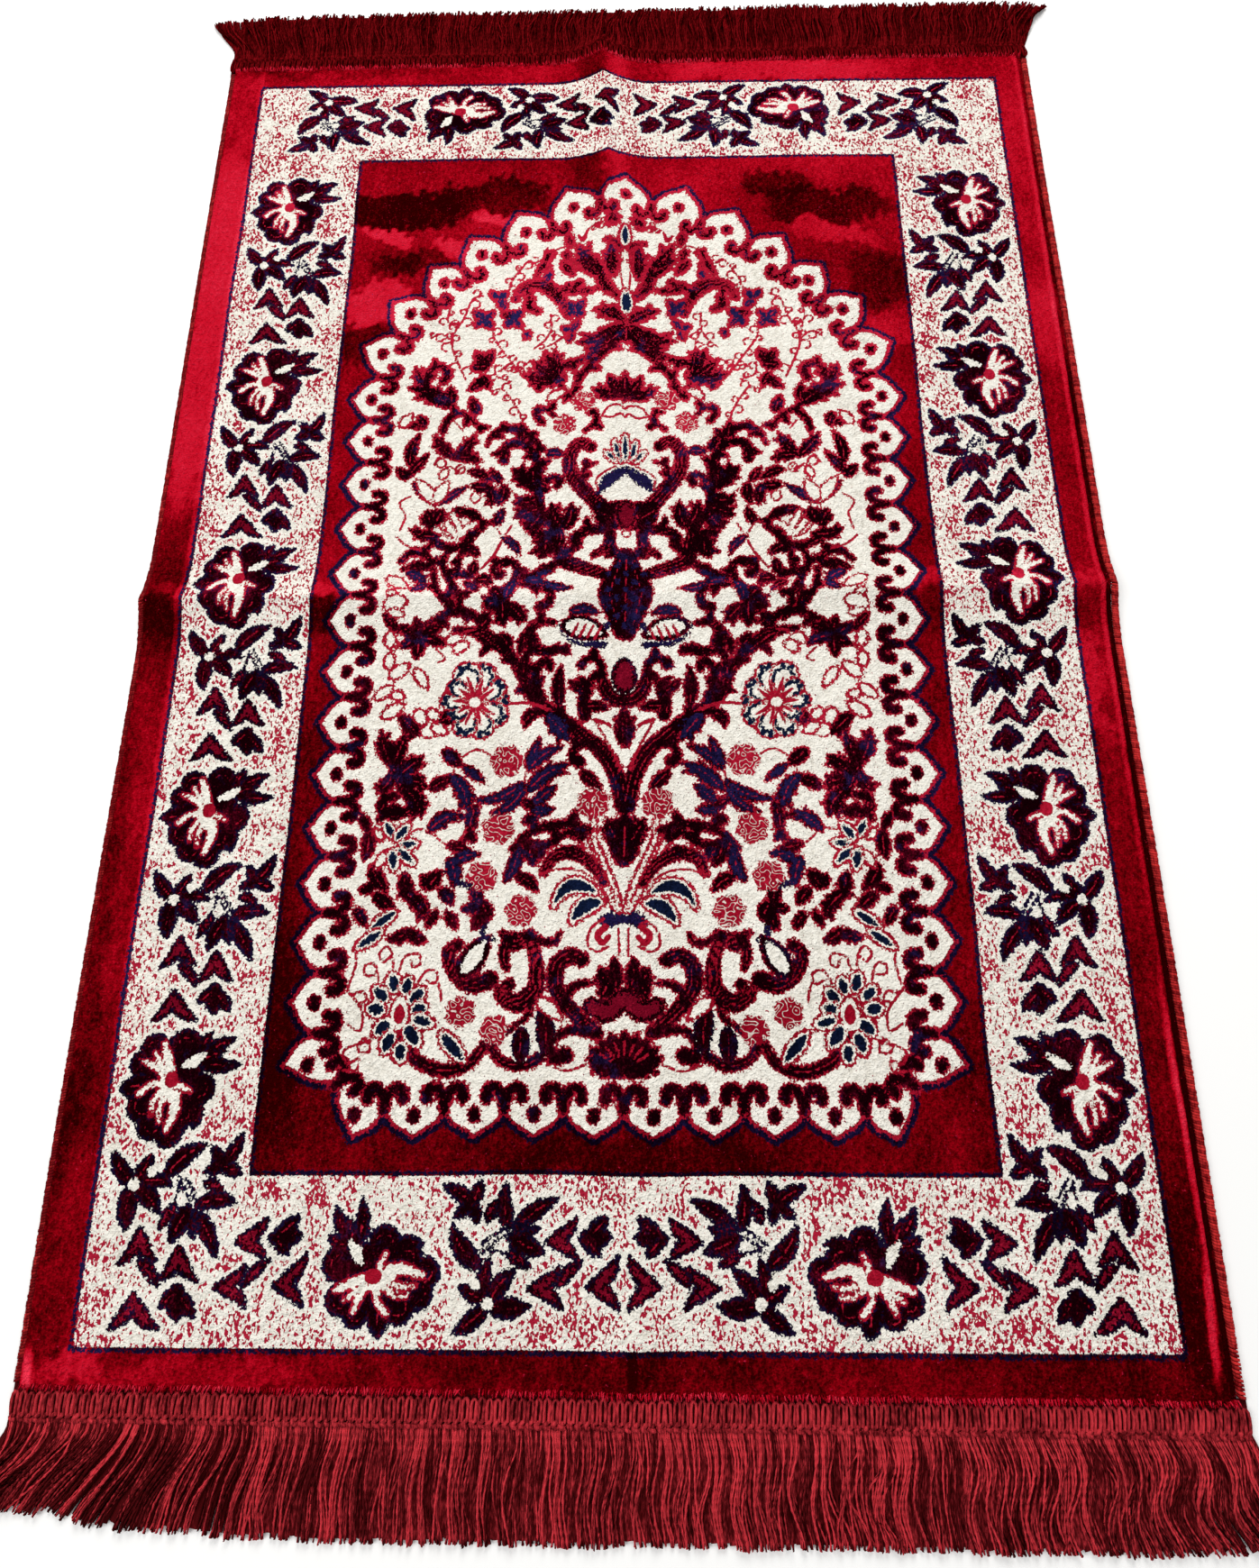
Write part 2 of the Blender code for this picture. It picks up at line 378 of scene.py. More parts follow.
    def tendril(self, row: tuple, at: Turned = UPRIGHT) -> None:
        """Weaves a thin vine with curls on alternate sides.

        Args:
            row: Its width, the size of its curls, then its places.
            at: Where the motif lies.
        """
        width, curl, *places = row
        line = smooth_path(tuple(places), 8)
        self.stroke(line, np.full(len(line), 0.5 * width), Dress.LINE, at)
        walked = walked_along(line)
        count = max(round(walked[-1] / (1.75 * curl)), 1)
        for number in range(count):
            place = (number + 0.8) / (count + 0.3) * walked[-1]
            i = min(int(np.searchsorted(walked, place)), len(line) - 1)
            dx, dy = line[i] - line[i - 1]
            side = 1.0 if number % 2 else -1.0
            size = curl * (1.0 + 0.25 * math.sin(2.4 * number + 0.1 * places[0][0]))
            turns = math.atan2(dy, dx) + side * np.linspace(0.7, 4.4, 9)
            steps = size * np.linspace(0.34, 0.24, 9) * np.stack([np.cos(turns), np.sin(turns)])
            arc = np.vstack([line[i], line[i] + np.cumsum(steps.T, axis=0)])
            self.stroke(arc, np.full(len(arc), 0.48 * width), Dress.LINE, at)
            self.disc(*arc[-1], 1.1, 1.1, Dress.LINE, at)

    def disc(
        self, x: float, y: float, across: float, along: float, dress: Dress, at: Turned = UPRIGHT
    ) -> None:
        """Weaves a round or oval spot.

        Args:
            x: Its middle's X in the motif's own axes.
            y: Its middle's Y.
            across: Half its size along X.
            along: Half its size along Y.
            dress: Its yarns.
            at: Where the motif lies.
        """
        small = min(across, along)
        reach = (across - small, 0.0) if across > small else (0.0, max(along - small, 0.01))
        line = np.array([(x - reach[0], y - reach[1]), (x + reach[0], y + reach[1])])
        self.stroke(line, np.array([small, small]), dress, at)

    def rosette(self, x: float, y: float, radius: float) -> None:
        """Weaves a small round rose with a scalloped rim.

        Args:
            x: Its middle's X.
            y: Its middle's Y.
            radius: Its radius.
        """
        self.disc(x, y, 0.72 * radius, 0.72 * radius, Dress.ROSE)
        for petal in range(6):
            turn = math.tau * petal / 6 + x
            at = (x + 0.60 * radius * math.cos(turn), y + 0.60 * radius * math.sin(turn))
            self.disc(*at, 0.40 * radius, 0.40 * radius, Dress.ROSE)

    def mirrored(self, field: np.ndarray) -> np.ndarray:
        """A field of the left half laid out over the whole width."""
        return np.concatenate([field[:, :-1], field[:, ::-1]], axis=1)


# ==== The border ===========================================================================

# Every table of leaves holds (base x, base y, tip x, tip y, width, bow if any), and every table
# of scrolls (one width or three, then the places passed), in millimetres.
# The border's unit is drawn from the flower's eye: X towards the field, Y up the side.

BORDER_PITCH = 165.7
# The big flower's dark petals, the outer ones first.
BORDER_PETALS = (
    (-8, -2, -30, -5, 11), (14, 12, 40, 9, 6.5, -0.08), (18, 15, 36, 24, 5.5, 0.05),
    (16, 15, 21, 27, 5, 0.1), (12, 10, 30, 17, 6), (12, -8, 17, -27, 7, 0.1),
)
# Its round lobes: (x, y, half the width, half the length).
BORDER_BODY = (
    (-12, 18, 8, 8), (6, 19, 9, 10), (-19, 9, 6.5, 7), (-15, -15, 9, 8.5), (-8, -25, 9, 8.5),
    (2, -28, 8, 9), (9, -18, 8, 9), (17, -5, 9, 8.5), (0, 0, 17, 19),
)
# Its cream streaks, as scrolls.
BORDER_STREAKS = (
    (4.6, 5.0, 2.4, (-1, 4), (-4, 13), (-7, 21)), (2.6, 2.6, 1.6, (-5, 6), (-9, 11), (-12, 15.5)),
    (3.6, 3.4, 1.8, (-5, 4), (-12, 8), (-18, 10.5)), (3.6, 2.6, 3.2, (-5, -2), (-12.5, -3), (-18.5, -8)),
    (6.0, 8.0, 7.0, (-4, 0), (-2.5, -5), (2, -10)), (6.5, 5.4, 2.6, (3, -9), (4, -17), (0.5, -28)),
    (2.4, 2.6, 1.4, (-3, -8), (-5, -16), (-4.5, -24)), (2.4, 2.4, 1.4, (-6, -7), (-9.5, -13), (-10, -20)),
    (3.0, 2.6, 1.6, (2, -3), (7, -4), (12, -6.5)),
)
BORDER_WINDOW = (3.0, 6.4, 2.6, (6.5, 8.0), (12.5, 10.5), (18, 14.5))
BORDER_SPRIG = {
    Dress.SHADE: (
        (-15, -57, -28.5, -40, 6.2, 0.06), (-15, -59, -15, -81, 7.6, -0.06),
        (-13, -59, 2.5, -72, 6.6, 0.08), (-12, -56, 8.5, -58, 5, 0.1), (-13, -56, -5.5, -42, 5.2),
        (4.5, -53, 25.5, -36, 7.4, 0.1), (36, -48, 46.5, -30, 5.4, -0.05), (37, -47, 30, -37, 4.4),
        (37, -47, 27, -50, 4.4), (37, -47, 48, -51, 4.8), (24.5, -68, 46.5, -66, 6, 0.1),
        (20.5, -69, 12, -88, 7.2, -0.06), (23, -71, 39, -95, 6.2, 0.06), (21, -70, 24, -85, 4.2),
        (18.5, -110, 20.5, -127, 7.6), (18.5, -113, 10.5, -120, 5), (20, -114, 30, -125, 5.6),
    ),
    Dress.HEART: (
        (27.5, -56, 38.5, -61, 3.4, 0.1), (11.5, -68, 4.5, -80, 3.8), (-6, -81, -16.5, -99, 4.6, 0.12),
        (-7, -81, 4.5, -97, 4.6, -0.12), (-5, -97, 7.5, -110, 3.8, 0.06), (17.5, -90, 8.5, -107, 4.8, 0.12),
        (17, -90, 29.5, -107, 4.8, -0.12), (-5, -114, -16.5, -131, 4.8, 0.12),
        (-6, -114, 10.5, -131, 5.2, -0.12),
    ),
}
BORDER_STEMS = (
    (1.5, (12, -54), (18, -62), (22, -70), (24, -82)), (1.5, (16, -53), (21.5, -61), (25, -69), (27, -80)),
    (1.3, (13, -56), (12, -63), (9.5, -70)),
)


@dataclass(frozen=True)
class BorderDesign:
    """The cream border with its flower, sprig and arrow-heads, in millimetres."""

    outer_x: float = 306.0
    near_y: float = -470.2
    far_y: float = 460.5
    width: float = 88.5
    far_width: float = 79.5
    rule: float = 2.3
    side_eye_x: float = -270.5
    side_first_eye_y: float = 333.0
    side_flowers: int = 5
    fullness: float = 1.1
    near_flower: Place = (-141.0, -434.0)
    near_eye: Place = (-134.0, -433.5)
    far_eye: Place = (-138.0, 432.0)
    far_squeeze: float = 0.86
    # How far each end's corner unit stands from its first flower.
    near_step: float = 177.0
    far_step: float = 169.0

    def frame_distance(self, chart: TuftChart, inset: float, far_inset: float) -> np.ndarray:
        """How far each tuft lies outside the frame's rectangle, moved inwards."""
        x, y = chart.xs[None, :], chart.ys[:, None]
        side = np.abs(x) - (self.outer_x - inset)
        near, far = self.near_y + inset, self.far_y - far_inset
        return np.maximum(side, np.abs(y - (near + far) / 2.0) - (far - near) / 2.0)

    def weave_ground(self, chart: TuftChart) -> None:
        """Weaves the cream band between its two navy rules."""
        whole = (slice(None), slice(None))
        outer = self.frame_distance(chart, 0.0, 0.0)
        inner = self.frame_distance(chart, self.width, self.far_width)
        chart.lay(whole, np.maximum(outer - self.rule, -inner - self.rule), Layer.SHADOW)
        chart.halo[:] = chart.HALO
        chart.lay(whole, np.maximum(outer, -inner), Layer.CREAM)
        chart.halo[:] = np.minimum(np.minimum(-outer, inner) + 2.0, chart.HALO)

    def weave_flower(self, chart: TuftChart, at: Turned) -> None:
        """Weaves the big flower of a unit."""
        for row in BORDER_PETALS:
            chart.leaf(row, Dress.SHADE, at)
        for spot in BORDER_BODY:
            chart.disc(*spot, Dress.SHADE, at)
        for x, y, across, along in BORDER_BODY[:-1]:
            facing = math.atan2(y, x)
            turns = facing + np.linspace(-1.35, 1.35, 9)
            arc = np.stack([x + 0.55 * across * np.cos(turns), y + 0.55 * along * np.sin(turns)], axis=1)
            chart.stroke(arc, np.full(9, 0.45), Dress.RIB, at)
        for row in BORDER_STREAKS:
            chart.scroll(row, Dress.STREAK, at)
        chart.scroll(BORDER_WINDOW, Dress.CREAM, at)
        chart.disc(0.0, 0.0, 3.9, 4.7, Dress.LINE, at)

    def weave_sprig(self, chart: TuftChart, at: Turned, lowest: float = -200.0) -> None:
        """Weaves the star flower, leaves and arrow-heads of a unit.

        Args:
            chart: The chart.
            at: The unit's place.
            lowest: Only shapes that start above this Y are woven, or below it if positive.
        """
        for dress, leaves in BORDER_SPRIG.items():
            for row in leaves:
                if row[1] > lowest or (lowest > 0.0 and row[1] < lowest - 200.0):
                    chart.leaf((*row[:4], row[4] * self.fullness, *row[5:]), dress, at)
        if lowest < 0.0:
            chart.disc(-14, -57.5, 3.2, 3.4, Dress.CREAM, at)
            chart.disc(-4.5, -50.5, 3.0, 2.8, Dress.CREAM, at)
            for row in BORDER_STEMS:
                chart.scroll(row, Dress.STEM, at)

    def weave(self, chart: TuftChart) -> None:
        """Weaves the whole border."""
        self.weave_ground(chart)
        near_axes = ((0.0, 1.0), (-1.0, 0.0))
        far_axes = ((0.0, -self.far_squeeze), (-1.0, 0.0))
        for unit in range(self.side_flowers):
            at = Turned(self.side_eye_x, self.side_first_eye_y - BORDER_PITCH * unit)
            self.weave_flower(chart, at)
            self.weave_sprig(chart, at)
        whole, arrows_only = -200.0, 120.0
        ends = (
            (self.near_flower, self.near_eye, near_axes, self.near_step, arrows_only),
            (self.far_eye, self.far_eye, far_axes, self.far_step, whole),
        )
        for flower, eye, axes, step, lowest in ends:
            self.weave_flower(chart, Turned(*flower, *axes))
            self.weave_sprig(chart, Turned(*eye, *axes))
            self.weave_sprig(chart, Turned(eye[0] - step, eye[1], *axes), lowest)


# ==== The niche ============================================================================


@dataclass(frozen=True)
class NicheDesign:
    """The scalloped niche: lobes with a dot each, and paired hooks between them."""

    foot_lobes: int = 5
    foot_pitch: float = 35.3
    foot_dot_y: float = -349.3
    foot_tip_y: float = -360.5
    side_lobes: int = 14
    side_pitch: float = 36.2
    side_first_y: float = -321.0
    side_dot_x: float = -189.5
    side_tip_x: float = -203.5
    # The arch's lobes: (dot x, dot y, tip x, tip y).
    arch: tuple = (
        (-184.0, 191.5, -199.0, 198.0), (-165.5, 228.0, -180.0, 238.0), (-141.0, 256.0, -151.5, 270.0),
        (-113.5, 283.5, -122.0, 298.5), (-79.5, 305.5, -87.0, 323.5), (-41.5, 328.5, -47.5, 347.0),
        (0.0, 338.0, 0.0, 355.0),
    )
    # Half a lobe's outline: (share of its half width, share of its depth).
    lobe: tuple = (
        (1.0, 0.0), (0.93, 0.04), (0.90, 0.20), (0.83, 0.40), (0.69, 0.57), (0.50, 0.70), (0.31, 0.80),
        (0.15, 0.89),
    )
    cusp_inset: float = 6.5
    rim: float = 5.0
    rim_red: float = 1.4
    # A hook from its cusp: width at the start, middle and end, then (out, in) places.
    hook: tuple = (3.8, 4.8, 5.8, (0.4, -4), (1.4, 3.4), (5.0, 8.6), (9.9, 7.6), (10.5, 2.8))

    def lobes(self) -> np.ndarray:
        """Every lobe of the left half, from the foot's middle round to the niche's tip."""
        rows = []
        for i in range(self.foot_lobes):
            x = -self.foot_pitch * (i + 0.5)
            rows.append((x, self.foot_dot_y, x, self.foot_tip_y))
        for i in range(self.side_lobes):
            y = self.side_first_y + self.side_pitch * i
            rows.append((self.side_dot_x, y, self.side_tip_x, y))
        return np.array(rows + list(self.arch), float)

    def outline(self, tips: np.ndarray, cusps: np.ndarray) -> np.ndarray:
        """The niche's scalloped outline.

        Args:
            tips: Each lobe's tip.
            cusps: The place before each lobe, and the one after the last.

        Returns:
            Its corners, from the foot's middle round to the niche's tip.
        """
        half = np.array([*self.lobe, (0.0, 1.0)])
        whole = np.vstack([half * (-1.0, 1.0), half[-2::-1]])
        corners = []
        for tip, start, end in zip(tips, cusps, cusps[1:]):
            middle = (start + end) / 2.0
            corners.append(middle + whole[:, :1] * (end - start) / 2.0 + whole[:, 1:] * (tip - middle))
        return np.vstack(corners)

    def weave(self, chart: TuftChart) -> None:
        """Weaves the niche's rim, ground, dots and hooks."""
        lobes = self.lobes()
        dots, tips = lobes[:, :2], lobes[:, 2:]
        out = (tips - dots) / np.linalg.norm(tips - dots, axis=1)[:, None]
        facing = np.vstack([[[0.0, -1.0]], out[1:] + out[:-1]])
        facing /= np.linalg.norm(facing, axis=1)[:, None]
        mirror = np.array([[-dots[0, 0], dots[0, 1]]])
        cusps = (dots + np.vstack([mirror, dots[:-1]])) / 2.0 - facing * self.cusp_inset
        beyond = cusps[-1] * (-1.0, 1.0)
        corners = self.outline(tips, np.vstack([cusps, beyond]))
        corners = np.vstack([corners, [[60.0, 0.0]]])
        x, y = chart.xs[None, :], chart.ys[:, None]
        body = polygon_distance(x, y, corners)
        whole = (slice(None), slice(None))
        for layer, outside in ((Layer.SHADOW, self.rim), (Layer.RED, self.rim_red), (Layer.CREAM, 0.0)):
            chart.lay(whole, body - outside, layer)
        for cusp, way in zip(cusps, facing):
            for side in (-1.0, 1.0):
                across = (-way[1] * side, way[0] * side)
                at = Turned(cusp[0], cusp[1], across, (-way[0], -way[1]))
                chart.scroll(self.hook, Dress.DARK, at)
        for dot in dots:
            chart.disc(dot[0], dot[1], 3.1, 4.1, Dress.DOT)


# ==== The flowers inside the niche =========================================================

FOOT_LEAVES = {
    # The crown leaf over the bowl.
    Dress.DARK: (
        (-4, -276, -5.5, -258, 7, 0.05), (-7, -279, -14.5, -264, 8, 0.05), (-9, -272, -14, -282, 6),
        # Leaves between the scrolls.
        (-92, -224, -96, -212, 6), (-91, -226, -102, -228, 5), (-90, -226, -95, -240, 7, 0.1),
        (-90, -224, -85, -234, 7), (-122, -214, -128, -207, 6), (-124, -214, -117, -204, 7),
        (-116, -216, -109, -225, 6, 0.1), (-112, -231, -106, -240, 5, 0.1), (-118, -229, -123, -239, 4),
        (-140, -206, -138, -222, 8, 0.06), (-139, -217, -124, -234, 8.5, 0.1),
        (-134, -241, -147, -246, 5.5, 0.12), (-134, -241, -124, -247, 6, -0.12),
        (-160, -201, -149, -216, 7, -0.1), (-157, -219, -145, -228, 6.5), (-168, -228, -162, -238, 5),
        (-166, -217, -157, -213, 4.5), (-69, -207, -55, -217, 6, 0.1),
    ),
    Dress.CORED: (
        (-144, -230, -158, -240, 3.6), (-152, -242, -166, -252, 3.6), (-110, -303, -96, -319, 5.2),
        (-18, -217, -44, -226, 6.0, -0.30), (-14, -224, -32, -236, 6.6, -0.16),
    ),
    Dress.SHADE: (
        (-62, -300, -62, -321, 8), (-51, -290, -49, -315, 8.5, 0.12),
    ),
    Dress.OUTLINE: ((-53, -283, -38, -295, 7, 0.05),),
    Dress.DARK_OUTLINE: ((-101, -268, -85, -245, 11),),
}
FOOT_SCROLLS = {
    Dress.DARK: (
        # The bowl's C arms, their inner hooks and its lower spirals.
        (6.0, 9.0, 7.4, (-16, -302), (-30, -291), (-41, -277), (-42, -264), (-34, -256.5), (-26, -259)),
        (3.0, 4.0, 1.6, (-36, -284), (-33, -277), (-27, -273.5), (-20, -273)),
        (4.0, 3.6, 8.0, (-17, -303), (-32, -300.5), (-43, -307), (-42, -317), (-35, -315)),
        # The S scroll and the arc beside it.
        (2.0, 10.0, 2.0, (-77, -242), (-68, -248), (-58, -242)),
        (5.0, 5.0, 3.0, (-73, -247), (-75, -256), (-73, -264)),
        (5.0, 10.0, 6.0, (-59, -245), (-54, -262), (-55, -277), (-65, -285), (-75, -280), (-71, -274)),
        (2.4, 3.6, 1.6, (-59, -242), (-51, -248), (-43, -248), (-40, -243)),
        # The scroll to the left of it, the garland arcs and their stem.
        (6.4, 6.4, 9.5, (-104, -250), (-109, -255), (-105, -267), (-94, -274), (-83, -271)),
        (4.6, 6.4, 4.0, (-134, -304), (-126, -317), (-108, -324.5), (-92, -320), (-84, -309)),
        (3.4, 5.0, 5.0, (-80, -311), (-73, -319), (-60, -321.5), (-49, -316)),
        (1.6, 2.4, 2.0, (-56, -284), (-59, -293), (-71, -302)),
    ),
    Dress.FLAME: ((7.0, 8.4, 7.0, (-19, -287), (-10, -290), (0, -282.5), (10, -290), (19, -287)),),
    Dress.NAVY: (
        (7.5, 8.0, 7.5, (-11, -236), (0, -232), (11, -236)),
        (2.6, 3.0, 2.0, (-88, -236), (-88, -244), (-82, -247)),
        (4.0, 3.0, 1.6, (-112, -199), (-108, -209), (-98, -214)),
    ),
    Dress.LINE: (
        (1.6, (-12, -234), (-20, -240), (-22, -250), (-16, -254), (-9, -251)),
        (4.2, 3.6, 3.0, (-11, -239), (-16, -244), (-13, -249), (-9, -245)), (1.5, (-3, -240), (-2.5, -257)),
        (1.5, (-46, -321), (-34, -324), (-22, -320)),
        (1.6, 1.6, 1.4, (-147, -229), (-155, -236), (-166, -250), (-166, -262), (-170, -277)),
        (1.6, 1.6, 1.4, (-170, -277), (-160, -289), (-160, -301), (-168, -297)),
        # Tendrils round the corner flower.
        (1.5, (-143, -268), (-143, -258), (-147, -251), (-152, -255), (-149, -260), (-145, -257)),
        (1.5, (-139, -266), (-136, -257), (-128, -255), (-126, -261), (-131, -263), (-132, -259)),
        (1.5, (-151, -272), (-154, -262), (-160, -262), (-160, -268), (-155, -268)),
        (1.5, (-128, -274), (-122, -265), (-115, -267), (-117, -273), (-122, -271)),
        (1.5, (-115, -272), (-113, -277), (-112, -283)),
        (1.5, (-168, -279), (-160, -278), (-158, -283), (-163, -285)),
        (1.5, (-150, -304), (-158, -306), (-160, -313), (-153, -313), (-154, -308)),
        (1.5, (-152, -306), (-168, -312), (-166, -320), (-159, -317), (-160, -324), (-168, -324)),
    ),
    Dress.STREAK: (
        (2.0, 2.2, 2.2, (-1.6, -229), (-6, -214), (-13, -198), (-19, -184), (-20, -170)),
        (2.0, 2.4, 2.0, (-3.5, -229), (-12, -213), (-20, -198), (-27, -183), (-42, -173)),
    ),
}
# Petals of the corner flower, as (middle x, middle y, length, width).
CORNER_HEART: Place = (-137.0, -291.0)
CORNER_PETALS = (
    (-142, -272, 9, 5), (-133.5, -274, 9, 4.5), (-149.5, -279, 9, 5), (-127, -280, 9, 5),
    (-152, -288, 8, 5.5), (-125, -288, 7, 5), (-146.5, -299, 10, 6), (-142.5, -308, 11, 5.5),
    (-128, -304, 13, 6), (-134.5, -314, 9, 5), (-122, -295.5, 12, 4.5),
)
ROSETTES = (
    (-65.0, -229.0, 10.0), (-91.0, -207.5, 10.0), (-78.5, -301.0, 9.0), (-100.0, -290.0, 9.0),
    (-20.5, -160.0, 10.5), (-77.5, -131.0, 11.0), (-82.0, -176.0, 10.5), (-30.5, 146.0, 9.5),
    (-44.5, 127.5, 9.5),
)

LOW_LEAVES = {
    Dress.DARK: (
        # The sprout between the limbs, the limbs' leaves and the small plant by the tulip.
        (-1, -122, -1, -96, 9), (-43, -94, -43, -64, 6.5, 0.05), (-69, -72, -67, -52, 5),
        (-56, -97, -66, -108, 6, -0.25), (-27, -84, -37, -75, 5), (-26, -94, -11, -96, 5.5, 0.1),
        (-28, -139, -16, -151, 6),
        # The dark flower and leaves to the left.
        (-124, -104, -111, -97, 7), (-150, -100, -136, -113, 9), (-119, -124, -108, -134, 7),
        (-126, -150, -112, -143, 6.5, 0.1), (-153, -134, -162, -110, 8, 0.06), (-152, -133, -145, -112, 7),
        (-147, -140, -133, -128, 9), (-145, -144, -129, -149, 8, 0.1), (-143, -150, -131, -169, 10, 0.1),
        (-152, -140, -161, -152, 8, 0.1), (-165, -179, -166, -197, 6.5, 0.1), (-170, -167, -164, -179, 4.5),
        (-96, -160, -99, -180, 5.5, -0.1), (-113, -187, -99, -190, 5), (-62, -184, -56, -200, 7.5, -0.1),
        (-66, -158, -57, -163, 5), (-65, -172, -57, -168, 5), (0, -199, 0, -168, 19),
        (-4, -186, -12, -171, 9),
    ),
    Dress.INK: (
        (-52, -99, -37, -117, 11, 0.05), (-64, -136, -56, -115, 5.5), (-63, -137, -41, -121, 6, 0.1),
        (-64, -152, -37, -133, 9.5, 0.08), (-66, -145, -98, -157, 5.5, 0.12),
        (-66, -147, -87, -166, 6, 0.15), (-59, -159, -45, -148, 6.5), (-60, -165, -46, -164, 5.5),
        (-106, -134, -92, -145, 4.5), (-114, -141, -102, -165, 9.5, 0.12), (-126, -178, -108, -166, 8, 0.1),
        (-110, -198, -93, -193, 6, 0.1), (-112, -196, -108, -213, 7, 0.1),
        (-76, -210, -69, -186, 6.5, -0.1),
    ),
    Dress.CORED: (
        (-148, -182, -154, -172, 3.4), (-146, -183, -139, -174, 3.4), (-143, -187, -133, -186, 3.4),
        (-144, -190, -134, -199, 3.4), (-148, -191, -146, -203, 4.0),
    ),
    Dress.OUTLINE: (
        (-162, -100, -148, -91, 7), (-143, -66, -133, -80, 6), (-165, -45, -159, -53, 6, 0.2),
        (-161, -55, -161, -66, 6), (-159, -72, -147, -62, 7), (-168, -87, -157, -78, 6),
        (-157, -84, -149, -86, 5), (-139, -96, -134, -106, 7), (-131, -96, -124, -102, 6),
        (-128, -106, -118, -112, 6), (-122, -47, -112, -44, 6, 0.2), (-116, -54, -107, -48, 6, 0.2),
        (-155, -184, -161, -176, 4), (-152, -192, -158, -203, 5),
    ),
    Dress.HEART: ((0, -83, 0, -61, 13),),
}
LOW_SCROLLS = {
    Dress.DARK: (
        # The forked trunk.
        (9.0, 9.0, 8.0, (-1, -163), (-6, -141), (-15, -125), (-26, -115), (-36, -106)),
        (8.0, 7.5, 5.0, (-36, -106), (-49, -97), (-61, -87), (-67, -76), (-72, -65), (-84, -52), (-99, -43)),
        # The tulip's cup and its hooks.
        (3.0, 9.0, 9.0, (-16, -62), (-14, -78), (-7, -88), (0, -90)),
        (3.4, 4.0, 6.0, (-15, -66), (-19, -60.5), (-26, -60), (-29, -64)),
        (7.0, 6.0, 2.5, (-26, -100), (-27, -88), (-23, -77), (-20, -71)),
        # Curls on the limb.
        (8.0, 4.0, 4.4, (-57, -88), (-61, -74), (-57, -62), (-51, -61.5), (-51, -66)),
        (4.0, 4.0, 7.0, (-22, -120), (-31, -121), (-34, -128), (-30, -132)),
        # The hooked leaf to the left.
        (9.0, 11.0, 8.0, (-156, -122), (-148, -137), (-142, -152)),
        (5.0, 7.0, 5.0, (-137, -162), (-147, -167), (-157, -163), (-156, -155)),
        # Arcs over the fountain.
        (3.0, 5.0, 3.0, (-72, -190), (-64, -181), (-50, -175), (-34, -174), (-22, -178)),
        (3.0, 4.5, 2.4, (-62, -185), (-50, -187), (-40, -181), (-32, -176)),
        (4.0, 8.0, 3.0, (-51, -205), (-45, -195), (-33, -192.5), (-20, -200), (-12, -212)),
        (2.0, 3.0, 2.0, (-109, -167), (-100, -171), (-102, -182), (-108, -187)),
    ),
    Dress.LINE: (
        (2.0, (-79, -91), (-62, -91), (-46, -98)), (1.5, (-20, -103), (-10, -121), (-3, -138)),
        (2.2, 2.4, 2.4, (-3, -118), (-9, -108), (-19, -103)), (1.5, (-64, -156), (-65, -143), (-64, -133)),
        (1.5, (-114, -148), (-110, -132), (-98, -123), (-87, -128)),
        (1.5, (-140, -178), (-127, -177), (-117, -185), (-110, -189)),
        (1.5, (-94, -178), (-101, -176), (-108, -187), (-112, -197)),
        (1.5, (-53, -206), (-42, -203), (-28, -204), (-18, -210)),
        (1.5, (-132, -49), (-123, -58), (-128, -61)), (1.5, (-120, -112), (-131, -115), (-138, -112)),
    ),
}
CARNATION: Place = (-101.0, -90.0)
# The dark ruffle round half a petal's tip: (out, down from the tip), in half widths.
CARNATION_RUFFLE = ((0.62, 1.7), (0.70, 0.9), (0.34, 0.62), (0.36, 0.16), (0.02, 0.50))
# The carnation's petals: (degrees from +X, reach, half its width).
CARNATION_PETALS = (
    (5, 20, 6.5), (-32, 22, 7.5), (-72, 23, 7.5), (-108, 22, 7.0), (-146, 17, 5.5), (176, 20, 6.0),
    (38, 21, 7.5), (76, 25, 7.5), (108, 26, 8.5), (140, 20, 5.5),
)

